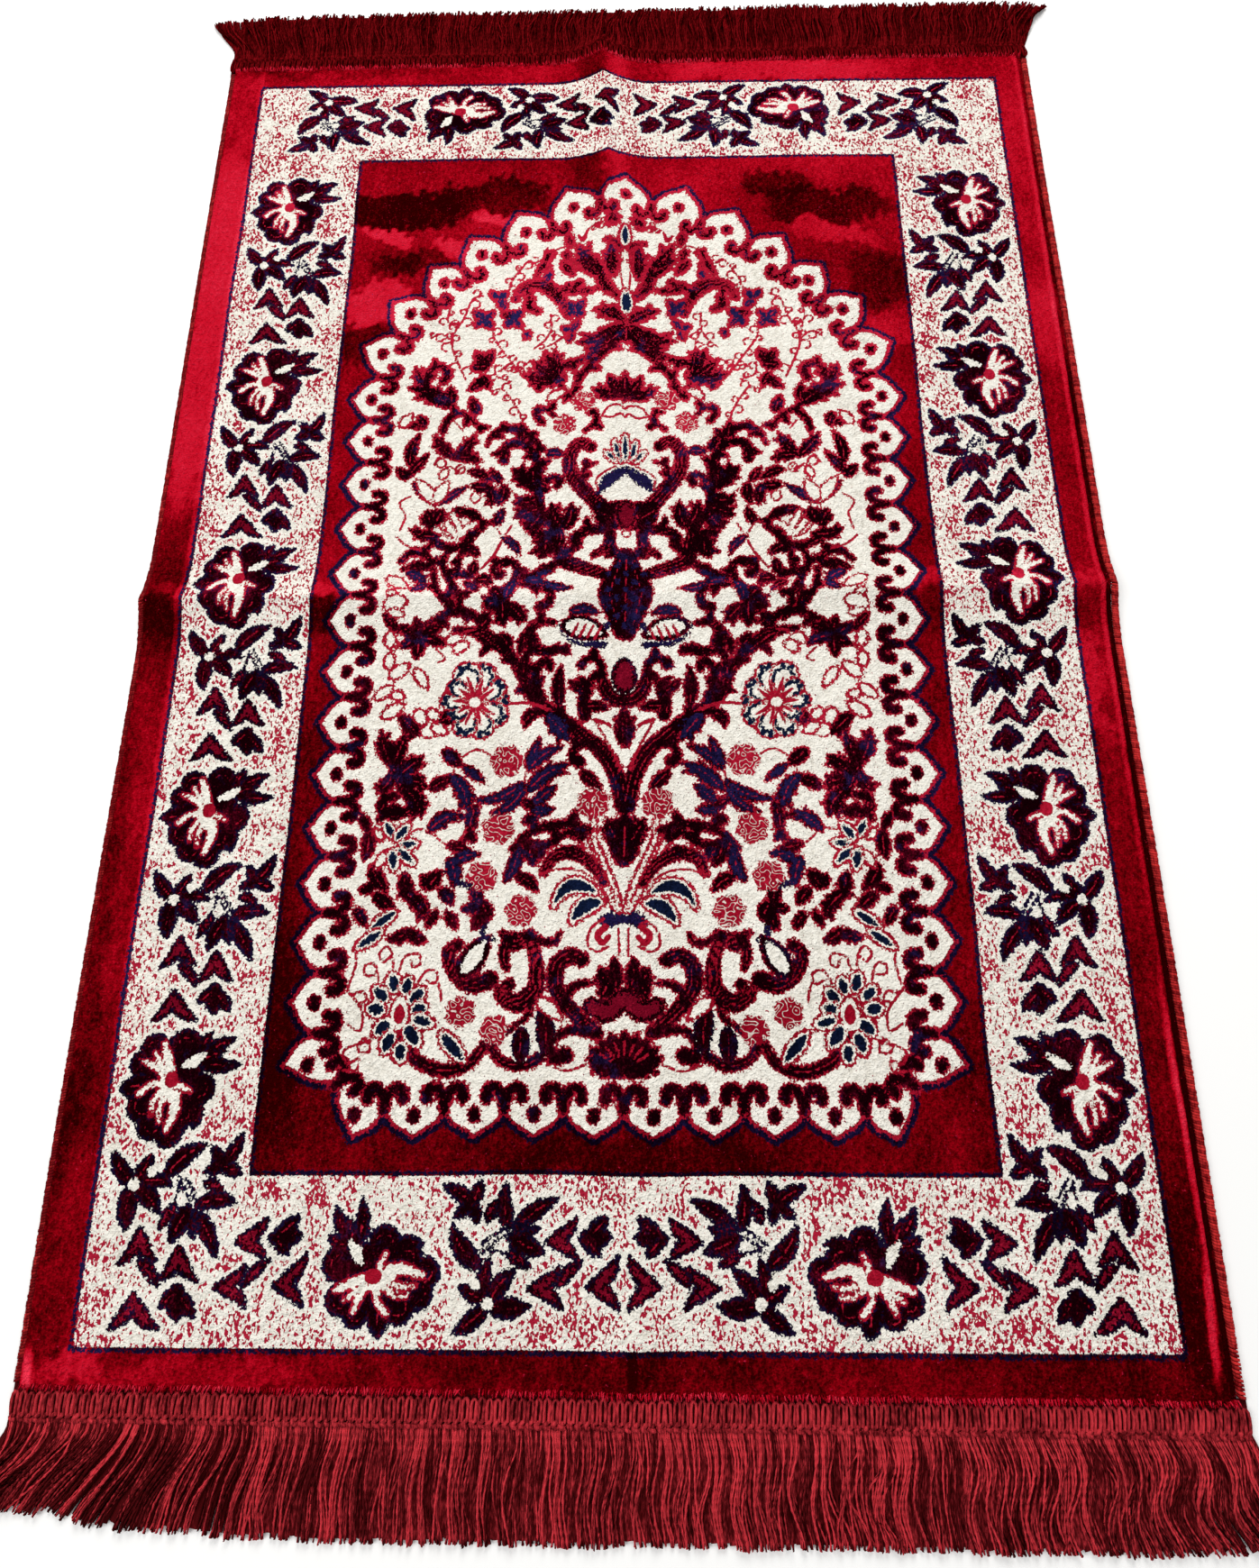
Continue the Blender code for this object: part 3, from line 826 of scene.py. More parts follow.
MIDDLE_LEAVES = {
    Dress.DARK: (
        # Leaves and buds on the branches beside the lotus.
        (-64, 74, -82, 90, 13), (-66, 72, -67, 92, 14), (-62, 66, -80, 62, 10, 0.1), (-60, 58, -79, 50, 11),
        (-60, 54, -71, 40, 12, 0.1), (-44, 41, -53, 62, 10, 0.1), (-44, 41, -39, 62, 10, -0.1),
        (-53, 37, -68, 38, 8, 0.1), (-56, 38, -60, 17, 14, 0.1),
        # The dark leaf cluster and the little flower beside it.
        (-82, -16, -98, -21, 11), (-84, -16, -92, -8, 9), (-84, -16, -84, -35, 11), (-80, -20, -68, -32, 9),
        (-107, 3, -105, 16, 6), (-107, 2, -115, 6, 6), (-104, -2, -92, -4, 8, 0.25),
        (-112, -3, -101, -10, 5, 0.1),
        # Leaves round the carnation and up the side.
        (-138, 43, -143, 56, 10), (-136, 46, -131, 57, 9), (-132, 36, -154, 41, 8, 0.1),
        (-113, 28, -101, 20, 6), (-92, 44, -87, 57, 6), (-125, 99, -141, 118, 9, 0.05),
        (-125, 98, -111, 119, 9, -0.05), (-124, 99, -105, 96, 8, 0.1), (-114, 88, -97, 79, 6, 0.1),
        (-90, 78, -98, 90, 5), (-88, 76, -91, 60, 7, 0.1), (-98, 75, -112, 77, 7, 0.1),
        (-99, 76, -96, 59, 8, 0.1), (-158, 82, -167, 91, 6), (-159, 84, -144, 103, 6),
        (-157, 92, -151, 120, 7, 0.1), (-166, -27, -155, -40, 5), (-100, -36, -93, -28, 6),
        # The star flower at the left.
        (-141, -43, -155, -34, 7, 0.05), (-141, -43, -144, -29, 6), (-141, -43, -125, -35, 6.5, 0.1),
        (-141, -43, -154, -50, 6.5), (-141, -43, -143, -58, 7), (-141, -43, -124, -49, 7, 0.1),
        (-85, -41, -78, -52, 8), (-72, -55, -70, -40, 4),
    ),
    Dress.INK: (
        (-82, -17, -75, -1, 7, 0.1), (-154, 78, -137, 60, 7.5, 0.06), (-137, 61, -114, 76, 5.5),
        (-153, 6, -138, -4, 8, 0.1), (-138, -4, -148, -9, 5), (-87, 34, -74, 19, 5, 0.12),
        (-57, 101, -45, 101, 6, 0.2), (-70, -1, -55, -5, 6.5, 0.1), (-57, -3, -37, -8, 5.5, -0.1),
        (-62, 1, -50, 6, 4.5, 0.1), (-38, -26, -18, -27, 6, 0.12),
    ),
    Dress.OUTLINE: (
        (-137, 62, -152, 82, 8), (-137, 63, -129, 80, 8), (-134, 82, -130, 91, 5), (-166, 1, -150, -7, 7),
        (-164, -10, -156, -16, 5), (-165, -22, -150, -18, 9, 0.1), (-163, -25, -152, -27, 5),
        (-162, -40, -160, -50, 6),
    ),
    Dress.DARK_OUTLINE: ((-42, -35, -13, -43, 13, 0.05),),
    Dress.CORED: (
        (-5, 93, -14, 102, 2.6), (-3, 94, -8, 110, 2.6), (0, 95, 0, 115, 2.6),
    ),
}
MIDDLE_SCROLLS = {
    Dress.DARK: (
        # The branch: out of the pine cone, up past the lotus to its hook.
        (8.0, 11.0, 9.0, (-15, 3), (-30, 9), (-43, 15), (-47, 28), (-50, 42)),
        (7.0, 6.5, 7.0, (-50, 42), (-60, 55), (-63, 76), (-64, 96), (-74, 110), (-87, 109), (-89, 97)),
        (4.0, 4.5, 5.4, (-58, 78), (-53, 83), (-48, 81), (-49, 76)),
        (6.0, 6.0, 4.0, (-46, 14), (-60, 5), (-72, 1)),
        # The two spirals and the hook by the wing leaf.
        (5.0, 5.0, 4.6, (-77, -3), (-75, 9), (-82, 15), (-90, 12), (-91, 5), (-86, 5)),
        (4.0, 5.0, 5.6, (-72, -5), (-60, -7), (-52, -11), (-53, -20), (-59, -22)),
        (3.4, 7.0, 4.0, (-49, -33), (-59, -33), (-66, -41), (-62, -51), (-51, -54), (-40, -51)),
        # The lotus, its arms and its inner curls.
        (11.0, 9.0, 7.6, (-17, 57), (-29, 71), (-39, 86), (-40, 101), (-33, 111), (-25, 107)),
        (3.0, 3.6, 1.8, (-30, 74), (-31, 85), (-27, 92), (-21, 94)),
        (7.0, 7.0, 5.0, (-16, 40), (-28, 39), (-37, 33), (-35, 26)),
        (7.0, 8.0, 4.0, (-12, 38), (-12, 27), (-23, 19)), (5.0, 6.0, 7.0, (-13, 30), (-8, 20), (0, 16)),
        # The carnation's sepals, its twin stems and the arc under them.
        (3.0, 8.0, 7.0, (-140, 40), (-134, 32), (-122, 26)),
        (7.0, 7.0, 4.0, (-121, 55), (-111, 54), (-104, 47), (-101, 42)),
        (4.0, 6.4, 6.0, (-101, 42), (-108, 36), (-114, 28), (-121, 26)),
        (4.0, 4.4, 3.6, (-125, 25), (-128, 13), (-122, 0), (-115, -12), (-114, -22)),
        (3.0, 4.0, 3.0, (-116, 26), (-117, 10), (-121, 0)),
        (4.0, 4.0, 3.0, (-134, 5), (-130, -9), (-121, -21), (-114, -25)),
        (2.0, 6.4, 4.0, (-139, -34), (-120, -25), (-107, -26), (-98, -34)),
        (3.0, 9.0, 6.0, (-117, -37), (-99, -40), (-86, -49), (-78, -56)),
        (4.0, 6.0, 2.0, (-158, 15), (-149, 24), (-139, 19), (-135, 12)),
        (2.4, 6.0, 2.4, (-156, 8), (-145, 13), (-133, 8)),
    ),
    Dress.NAVY: (
        (3.0, 10.0, 5.0, (-20, 70), (-12, 79), (0, 87)),
        (4.0, 5.0, 4.0, (-44, -36), (-34, -46), (-14, -50)),
    ),
    Dress.LINE: (
        (1.5, (-20, 71), (-21, 81), (-13, 87), (-4, 91), (0, 95)),
        (1.6, (-140, 94), (-135, 99), (-131, 94), (-135, 91), (-139, 95), (-134, 102), (-128, 98)),
        (1.5, (-120, 90), (-124, 88), (-122, 93), (-118, 92), (-118, 87), (-124, 86)),
        (1.5, (-132, 82), (-129, 92), (-121, 86)), (1.6, (-163, 35), (-155, 28), (-144, 24)),
        (1.5, (-161, 40), (-158, 52), (-163, 62), (-155, 68)), (2.0, (-86, 33), (-92, 20), (-100, 9)),
        (1.5, (-92, 44), (-86, 35), (-80, 44)),
        (1.5, (-112, 66), (-108, 62), (-104, 67), (-109, 71), (-112, 66)),
        (1.5, (-90, 74), (-82, 72), (-79, 66)), (1.5, (-168, 1), (-162, -14), (-168, -24)),
    ),
    Dress.STREAK: (
        (4.0, 3.4, 2.4, (-135, 42), (-128, 34), (-119, 32)),
        (3.4, 3.8, 2.6, (-129, 49), (-124, 41), (-119, 35)),
        (3.0, 3.6, 2.6, (-124, 53), (-118, 42), (-117, 36)),
        (3.4, 3.6, 2.4, (-107, 45), (-113, 42), (-116, 36)),
    ),
}
PINE_CONE = (9.0, 37.0, 14.0, (0, 20), (0, -12), (0, -40))

TOP_LEAVES = {
    Dress.DARK: (
        # The palmette's fan and the bud below it.
        (-1, 214, -25, 228, 10, -0.1), (-2, 213, -37, 200, 13, 0.12), (-2, 209, -31, 193, 10, 0.15),
        (0, 212, 0, 196, 8), (0, 144, 0, 170, 9), (-1, 147, -12, 167, 7.5, 0.05),
        (-1, 147, -24, 157, 9, 0.06), (-1, 148, -15, 150, 6),
        # The leaf tulip.
        (-16, 257, -37, 291, 14, 0.06), (-19, 262, -39, 275, 8), (-10, 256, -11, 288, 11),
        (-12, 304, -8, 317, 8), (-49, 275, -40, 262, 6.5), (-47, 286, -44, 275, 5), (-45, 302, -43, 289, 5),
        # The crown leaf and the groups down the side.
        (-49, 166, -77, 171, 10, 0.1), (-49, 166, -70, 183, 10, 0.06), (-49, 167, -61, 192, 10),
        (-49, 168, -53, 192, 8), (-106, 180, -113, 192, 7), (-106, 180, -101, 193, 7),
        (-104, 180, -116, 180, 8, 0.1), (-106, 170, -118, 158, 7, 0.1), (-108, 171, -102, 159, 6),
        (-146, 158, -158, 179, 8, 0.08), (-130, 143, -162, 161, 14, -0.08), (-131, 145, -146, 158, 12),
        (-129, 146, -131, 162, 6.5), (-110, 137, -115, 151, 7), (-149, 126, -152, 136, 6),
        (-163, 128, -150, 124, 5, 0.1), (-74, 114, -77, 129, 6), (-84, 224, -95, 227, 7),
    ),
    Dress.INK: (
        (-62, 258, -58, 267, 5), (-98, 240, -104, 248, 5), (-98, 240, -92, 247, 6), (-98, 240, -92, 231, 6),
        (-108, 222, -116, 229, 6.5), (-108, 222, -101, 229, 5), (-108, 222, -102, 213, 6),
        (-108, 222, -115, 215, 5), (-87, 222, -80, 229, 7), (-87, 222, -91, 214, 6),
        (-87, 222, -79, 213, 5), (-39, 229, -45, 237, 6), (-39, 229, -32, 238, 6), (-39, 229, -33, 224, 6),
        (-39, 229, -46, 225, 5), (-42, 210, -36, 221, 5), (-42, 210, -49, 214, 5), (-42, 210, -44, 200, 5),
        (-75, 210, -76, 203, 4.5),
    ),
    Dress.CORED: (
        (0, 288, 0, 306, 4.0), (-1, 225, -1, 243, 4.0),
    ),
    Dress.OUTLINE: (
        (-57, 148, -44, 156, 6, 0.1), (-166, 126, -158, 137, 6),
    ),
}
TOP_SCROLLS = {
    Dress.DARK: (
        (3.0, 6.0, 7.0, (-41, 149), (-35, 165), (-25, 180), (-13, 191), (-4, 202)),
        (7.0, 7.0, 7.0, (-27, 185), (-24, 189), (-20, 189)),
        (7.0, 9.0, 5.0, (-20, 262), (-16, 249), (-7, 238)),
        (2.6, 3.6, 6.0, (-19, 248), (-32, 245), (-40, 250), (-36, 254)),
        # The scroll leaf and its hooks.
        (4.0, 11.5, 4.0, (-85, 240), (-79, 251), (-66, 254), (-55, 246), (-49, 236), (-45, 224)),
        (3.4, 4.0, 5.0, (-53, 240), (-49, 248), (-44, 252)),
        (5.0, 7.0, 2.4, (-68, 229), (-75, 234), (-74, 245)),
        (4.6, 4.0, 5.0, (-50, 171), (-46, 180), (-40, 182), (-39, 177)),
        (6.0, 3.6, 3.0, (-65, 159), (-62, 165), (-52, 164), (-42, 153)),
        # The curl on the big side leaf, and the arches below.
        (5.4, 5.0, 6.0, (-149, 162), (-148, 174), (-140, 180), (-133, 174), (-136, 167)),
        (5.0, 4.0, 3.0, (-135, 122), (-132, 132), (-124, 138), (-114, 133), (-107, 122)),
        (2.0, 6.4, 5.0, (-102, 109), (-97, 120), (-85, 124), (-71, 118), (-61, 106)),
        (5.4, 4.0, 2.4, (-62, 129), (-66, 136), (-59, 140), (-52, 134)),
        (3.0, 5.0, 3.0, (-15, 291), (0, 287), (14, 291)),
        (3.0, 4.4, 3.4, (-29, 121), (-21, 128), (-22, 137)),
        (3.0, 6.0, 5.0, (-69, 263), (-64, 273), (-58, 284)),
    ),
    Dress.LINE: (
        (1.6, (-3, 285), (-4, 262), (-2, 244)), (1.8, (-17, 132), (-12, 139), (-4, 140), (0, 137)),
        (1.8, (-17, 132), (-9, 130), (-3, 133), (0, 130)),
        (1.6, (-62, 270), (-56, 286), (-46, 290), (-36, 286)),
        (2.0, 4.0, 2.0, (-37, 300), (-33, 295), (-30, 303)), (1.5, (-26, 303), (-20, 307), (-11, 303)),
        (1.5, (-120, 122), (-126, 130)),
    ),
}


# Thin vines with curls: (width, size of a curl, then the places passed).
TENDRILS = (
    (1.6, 5.0, (-120, 168), (-126, 182), (-131, 196), (-131, 208), (-124, 222), (-118, 240), (-110, 244)),
    (1.5, 4.4, (-77, 168), (-86, 182), (-94, 194), (-100, 204), (-101, 214)),
    (1.5, 4.4, (-91, 246), (-88, 258), (-83, 267), (-76, 277), (-70, 273)),
    (1.5, 4.0, (-70, 194), (-61, 203), (-57, 214), (-58, 226)),
    (1.5, 4.0, (-86, 165), (-97, 170), (-99, 181)),
    (1.5, 4.2, (-76, 128), (-80, 140), (-86, 150), (-92, 158), (-102, 157)),
    (1.5, 3.8, (-60, 196), (-51, 202), (-44, 209)), (1.5, 4.0, (-131, 202), (-141, 209), (-148, 205)),
    (1.5, 4.0, (-128, 214), (-136, 221), (-135, 232)), (1.5, 3.6, (-30, 304), (-20, 309), (-9, 303)),
    (1.5, 4.0, (-88, 178), (-78, 178), (-72, 184)),
)


class NicheGarden:
    """The leaves, scrolls and flowers that fill the niche, mirrored about its middle."""

    LEAVES = (FOOT_LEAVES, LOW_LEAVES, MIDDLE_LEAVES, TOP_LEAVES)
    SCROLLS = (FOOT_SCROLLS, LOW_SCROLLS, MIDDLE_SCROLLS, TOP_SCROLLS)

    def weave_rows(self, chart: TuftChart) -> None:
        """Weaves every leaf and scroll of the tables."""
        for scrolls, leaves in zip(self.SCROLLS, self.LEAVES):
            for dress, rows in scrolls.items():
                for row in rows:
                    chart.scroll(row, dress)
                    if dress is Dress.DARK and row[1] <= 7.6 and scrolls is not FOOT_SCROLLS:
                        chart.sprouts(row, dress)
            for dress, rows in leaves.items():
                for row in rows:
                    chart.leaf(row, dress)

    def weave_bowl(self, chart: TuftChart) -> None:
        """Weaves the lotus bowl at the foot, a dark fan with thin ribs."""
        for angle in np.linspace(-84.0, 84.0, 9):
            turn = math.radians(90.0 + angle)
            tip = (22.0 * math.cos(turn), -318.0 + 16.5 * math.sin(turn))
            chart.leaf((0, -325, *tip, 11), Dress.DARK)
        chart.disc(0, -317, 17, 8, Dress.DARK)
        for angle in np.linspace(-66.0, 66.0, 7):
            turn = math.radians(90.0 + angle)
            start = (8.0 * math.cos(turn), -321.0 + 6.0 * math.sin(turn))
            tip = (15.5 * math.cos(turn), -319.0 + 12.0 * math.sin(turn))
            chart.scroll((0.8, 1.3, 1.3, start, tip), Dress.LINE)

    def weave_corner_flower(self, chart: TuftChart) -> None:
        """Weaves the many-petalled flower in the niche's lower corner."""
        x, y = CORNER_HEART
        for px, py, length, width in CORNER_PETALS:
            away = math.hypot(px - x, py - y)
            ux, uy = (px - x) / away * length / 2.0, (py - y) / away * length / 2.0
            chart.leaf((px - ux, py - uy, px + ux, py + uy, width), Dress.CORED)
        chart.leaf((x, y - 8, x, y + 10, 9), Dress.STREAK)
        chart.leaf((x, y - 5, x, y + 6, 5.5), Dress.LINE)

    def weave_carnation(self, chart: TuftChart) -> None:
        """Weaves the round carnation on the left limb."""
        x, y = CARNATION
        chart.disc(x, y, 9, 9, Dress.OUTLINE)
        for degrees, reach, half in 1.14 * np.array(CARNATION_PETALS) / (1.14, 1.0, 1.0):
            turn = math.radians(degrees)
            at = Turned(x, y, (math.sin(turn), -math.cos(turn)), (math.cos(turn), math.sin(turn)))
            petal = ((0, 6), (0, reach * 0.62), (0, reach - half))
            chart.scroll((4.0, 1.7 * half, 2.0 * half, *petal), Dress.OUTLINE, at)
            for side in (-1.0, 1.0):
                ruffle = ((side * out * half, reach - down * half) for out, down in CARNATION_RUFFLE)
                chart.scroll((2.0, 2.6, 2.4, *ruffle), Dress.INKLINE, at)
            vein = ((0, 3), (0.4, reach * 0.40), (0, reach * 0.66))
            chart.scroll((3.6, 2.6, 1.0, *vein), Dress.LINE, at)
        chart.disc(x, y, 4.0, 3.6, Dress.CREAM)

    def weave_lotus(self, chart: TuftChart) -> None:
        """Weaves the lotus, the pine cone under it, and the wing leaves' veins."""
        chart.scroll(PINE_CONE, Dress.DARK)
        for row in range(8):
            for column in range(3):
                x = -12.0 * column - (0.0 if row % 2 else 6.0)
                y = 10.0 - 6.6 * row
                if abs(x) < 14.0 - 0.5 * abs(row - 3.5):
                    chart.disc(x, y, 2.2, 2.2, Dress.NAVY)
        chart.disc(0, 50, 22, 11, Dress.DARK)
        chart.leaf((-8, 46, -25, 58, 8), Dress.DARK)
        chart.leaf((0, 42, 0, 60, 9), Dress.FLAME)
        chart.disc(0, 30, 7, 6, Dress.CREAM)
        chart.disc(0, 35.5, 3.6, 3.6, Dress.LINE)
        chart.disc(0, 35.5, 2.0, 2.0, Dress.CREAM)
        chart.disc(0, 69, 8, 5, Dress.CREAM)
        for step in range(4):
            x = -36.0 + 5.2 * step
            chart.scroll((2.0, 2.0, 1.2, (x, -42.0 - step), (x + 4, -33.5 - step)), Dress.LINE)

    def weave(self, chart: TuftChart) -> None:
        """Weaves the whole garden."""
        self.weave_rows(chart)
        self.weave_bowl(chart)
        self.weave_corner_flower(chart)
        self.weave_carnation(chart)
        self.weave_lotus(chart)
        for row in TENDRILS:
            chart.tendril(row)
        for x, y, radius in ROSETTES:
            chart.rosette(x, y, radius)


def woven_chart(half_width: float = 332.5, half_length: float = 487.8, tuft: float = 1.56) -> TuftChart:
    """Weaves the rug's whole pattern.

    Args:
        half_width: From the rug's middle to its side, in millimetres.
        half_length: From the rug's middle to its end, in millimetres.
        tuft: The grid's pitch, in millimetres.

    Returns:
        The chart.
    """
    columns = round(half_width / tuft) + 1
    rows = 2 * round(half_length / tuft) + 1
    chart = TuftChart(half_width, half_length, columns, rows)
    BorderDesign().weave(chart)
    border_halo = chart.halo.copy()
    NicheDesign().weave(chart)
    NicheGarden().weave(chart)
    chart.halo = border_halo
    return chart


# ==== The rug's form =======================================================================


def eased(rows: tuple, at: np.ndarray, column: int) -> np.ndarray:
    """Reads a column of a short table at places along it, eased between the rows.

    Args:
        rows: The table; its first column is the place.
        at: The places.
        column: Which column to read.

    Returns:
        The values.
    """
    places, values = np.array(rows).T[[0, column]]
    at = np.clip(at, places[0], places[-1])
    i = np.clip(np.searchsorted(places, at, side="right") - 1, 0, len(rows) - 2)
    share = (at - places[i]) / (places[i + 1] - places[i])
    return values[i] + (values[i + 1] - values[i]) * share * share * (3.0 - 2.0 * share)


def wander(places: np.ndarray, period: float, row: float) -> np.ndarray:
    """A smooth unevenness between -1 and 1 along a line; each row has its own."""
    flat = np.ravel(places)
    values = [noise.noise((place / period, row, 0.5)) for place in flat]
    return np.array(values).reshape(np.shape(places))


@dataclass(frozen=True)
class RugForm:
    """The rug's outline and its two fold creases, as its solids have them."""

    half_width: float = 0.3325
    half_length: float = 0.4878
    far_short: float = 0.0048
    thickness: float = 0.0055
    near_slope: float = -0.0074
    near_reach: float = 0.0026
    far_slope: float = 0.0090
    end_skew: float = 0.0200
    side_wander: float = 0.0012
    side_period: float = 0.34
    piece_gap: float = 0.0003
    binding_width: float = 0.0056
    # (Y, X of the crest, height of the crest).
    length_crease: tuple = (
        (-0.50, 0.009, 0.0018), (-0.25, 0.004, 0.0020), (0.00, -0.004, 0.0034), (0.20, -0.008, 0.0052),
        (0.36, -0.014, 0.0088), (0.50, -0.020, 0.0118),
    )
    # (X, Y of the crest, height of the crest).
    width_crease: tuple = (
        (-0.36, -0.0155, 0.0074), (-0.12, -0.0135, 0.0052), (0.00, -0.0125, 0.0046),
        (0.12, -0.0105, 0.0050), (0.36, -0.0060, 0.0066),
    )
    crease_reach: float = 0.046
    crease_power: float = 2.2

    def crease(self, distance: np.ndarray, crest: np.ndarray) -> np.ndarray:
        """How high a crease stands at a distance from its crest."""
        inside = 1.0 - np.minimum(np.abs(distance) / self.crease_reach, 1.0)
        return crest * inside**self.crease_power

    def lift(self, x: np.ndarray, y: np.ndarray) -> np.ndarray:
        """How high the cloth's underside stands off the floor."""
        along = self.crease(x - eased(self.length_crease, y, 1), eased(self.length_crease, y, 2))
        across = self.crease(y - eased(self.width_crease, x, 1), eased(self.width_crease, x, 2))
        return np.hypot(along, across)

    def side_x(self, side: float, y: np.ndarray) -> np.ndarray:
        """X of the cloth's edge: side is -1 on the left and 1 on the right."""
        return side * (self.half_width + self.side_wander * wander(y, self.side_period, side * 0.7))

    def end_y(self, end: float, x: np.ndarray) -> np.ndarray:
        """Y of the cloth's edge: end is -1 at the near end and 1 at the far end."""
        if end < 0:
            return self.near_slope * x - self.half_length - self.near_reach
        return self.far_slope * x + self.half_length - self.far_short

    def place(self, across: np.ndarray, along: np.ndarray) -> tuple[np.ndarray, np.ndarray]:
        """Places points on the cloth.

        Args:
            across: From -1 at the left side to 1 at the right.
            along: From -1 at the near end to 1 at the far end.

        Returns:
            Their X and Y.
        """
        rough_y = np.ravel(along * self.half_length)
        left = -self.side_x(-1.0, rough_y).reshape(np.shape(along))
        right = self.side_x(1.0, rough_y).reshape(np.shape(along))
        x = across * np.where(across < 0.0, left, right)
        y = along * self.half_length
        skewed = np.clip((np.abs(y) - self.half_length + self.end_skew) / self.end_skew, 0.0, 1.0)
        near, far = self.near_slope * x - self.near_reach, self.far_slope * x - self.far_short
        return x, y + np.where(along < 0.0, near, far) * skewed


FORM = RugForm()


# ==== Meshes and geometry nodes ============================================================


def linked(name: str, data: bpy.types.ID | None) -> bpy.types.Object:
    """Puts a new object with its data in the scene."""
    made = bpy.data.objects.new(name, data)
    bpy.context.scene.collection.objects.link(made)
    return made


def quad_mesh(name: str, points: np.ndarray, quads: np.ndarray) -> bpy.types.Object:
    """Makes a smooth mesh object of quads.

    Args:
        name: Its name.
        points: One row of X, Y and Z a corner.
        quads: Four corner numbers a face.

    Returns:
        The object, linked to the scene.
    """
    mesh = bpy.data.meshes.new(name)
    mesh.vertices.add(len(points))
    mesh.vertices.foreach_set("co", np.ascontiguousarray(points, np.float32).ravel())
    mesh.loops.add(4 * len(quads))
    mesh.loops.foreach_set("vertex_index", np.ascontiguousarray(quads, np.int32).ravel())
    mesh.polygons.add(len(quads))
    mesh.polygons.foreach_set("loop_start", np.arange(0, 4 * len(quads), 4, dtype=np.int32))
    mesh.update(calc_edges=True)
    mesh.validate()
    mesh.shade_smooth()
    return linked(name, mesh)


def grid_quads(rows: int, columns: int, closed: bool = False) -> np.ndarray:
    """The faces between the points of a grid, row after row, counter-clockwise.

    Args:
        rows: Lines of points.
        columns: Points in a line.
        closed: Whether each line of points is a ring.

    Returns:
        Four point numbers a face.
    """
    numbers = np.arange(rows * columns).reshape(rows, columns)
    if closed:
        numbers = np.concatenate([numbers, numbers[:, :1]], axis=1)
    return np.stack(
        [numbers[:-1, :-1], numbers[:-1, 1:], numbers[1:, 1:], numbers[1:, :-1]], axis=-1
    ).reshape(-1, 4)


def attribute(mesh: bpy.types.Mesh, name: str, values: np.ndarray) -> None:
    """Gives each point of a mesh a named number or vector."""
    kind, key = ("FLOAT_VECTOR", "vector") if values.ndim == 2 else ("FLOAT", "value")
    made = mesh.attributes.new(name, kind, "POINT")
    made.data.foreach_set(key, np.ascontiguousarray(values, np.float32).ravel())


def line_mesh(name: str, lines: np.ndarray, **numbers: np.ndarray) -> bpy.types.Object:
    """Makes an object of open lines, for a modifier to follow.

    Args:
        name: Its name.
        lines: Points as (line, point, 3).
        **numbers: Named numbers as (line, point).

    Returns:
        The object, linked to the scene.
    """
    count, length, _ = lines.shape
    mesh = bpy.data.meshes.new(name)
    mesh.vertices.add(count * length)
    mesh.vertices.foreach_set("co", np.ascontiguousarray(lines, np.float32).ravel())
    places = np.arange(count * length).reshape(count, length)
    edges = np.stack([places[:, :-1], places[:, 1:]], axis=-1).reshape(-1, 2)
    mesh.edges.add(len(edges))
    mesh.edges.foreach_set("vertices", edges.astype(np.int32).ravel())
    for key, values in numbers.items():
        attribute(mesh, key, np.broadcast_to(values, (count, length)).ravel())
    return linked(name, mesh)


class NodeKit:
    """A node tree being built."""

    tree: bpy.types.NodeTree

    def add(self, kind: str, settings: dict | None = None, inputs: dict | None = None) -> bpy.types.Node:
        """Makes a node.

        Args:
            kind: Its type.
            settings: The node's own settings, set first.
            inputs: Values or links by the socket's name or number.

        Returns:
            The node.
        """
        made = self.tree.nodes.new(kind)
        for key, value in (settings or {}).items():
            setattr(made, key, value)
        for key, value in (inputs or {}).items():
            named = (socket for socket in made.inputs if socket.name == key and socket.enabled)
            self.feed(made.inputs[key] if isinstance(key, int) else next(named), value)
        return made

    def feed(self, socket: bpy.types.NodeSocket, value: "Value | Input") -> None:
        """Links or sets a socket."""
        value = value.socket if isinstance(value, Value) else value
        if isinstance(value, bpy.types.NodeSocket):
            self.tree.links.new(value, socket)
        elif hasattr(value, "__len__") and len(value) == 3 and socket.type == "RGBA":
            socket.default_value = (*value, 1.0)
        else:
            socket.default_value = value


class PieceTree(NodeKit):
    """A geometry node tree being built, with named inputs."""

    def __init__(self, name: str, **inputs: str) -> None:
        """Starts a tree.

        Args:
            name: Its name.
            **inputs: Each further input's name, with _ for a space, and the end of its socket's type.
        """
        self.tree = bpy.data.node_groups.new(name, "GeometryNodeTree")
        sockets = self.tree.interface
        sockets.new_socket("Geometry", in_out="INPUT", socket_type="NodeSocketGeometry")
        sockets.new_socket("Geometry", in_out="OUTPUT", socket_type="NodeSocketGeometry")
        for key, kind in inputs.items():
            sockets.new_socket(key.replace("_", " "), in_out="INPUT", socket_type=f"NodeSocket{kind}")
        self.given = self.add("NodeGroupInput").outputs
        self.end = self.add("NodeGroupOutput")

    def step(self, kind: str, settings: dict | None = None, **inputs) -> bpy.types.NodeSocket:
        """Makes a node from inputs with _ for a space, and gives its first live output."""
        made = self.add(kind, settings, {key.replace("_", " "): value for key, value in inputs.items()})
        return next(socket for socket in made.outputs if socket.enabled)

    def named(self, name: str, kind: str = "FLOAT") -> bpy.types.NodeSocket:
        """The field of a named attribute."""
        return self.step("GeometryNodeInputNamedAttribute", {"data_type": kind}, Name=name)

    def finish(self, geometry: bpy.types.NodeSocket) -> bpy.types.NodeTree:
        """Ends the tree with real geometry in its material."""
        real = self.step("GeometryNodeRealizeInstances", Geometry=geometry)
        dressed = self.step("GeometryNodeSetMaterial", Geometry=real, Material=self.given["Material"])
        self.feed(self.end.inputs["Geometry"], dressed)
        return self.tree


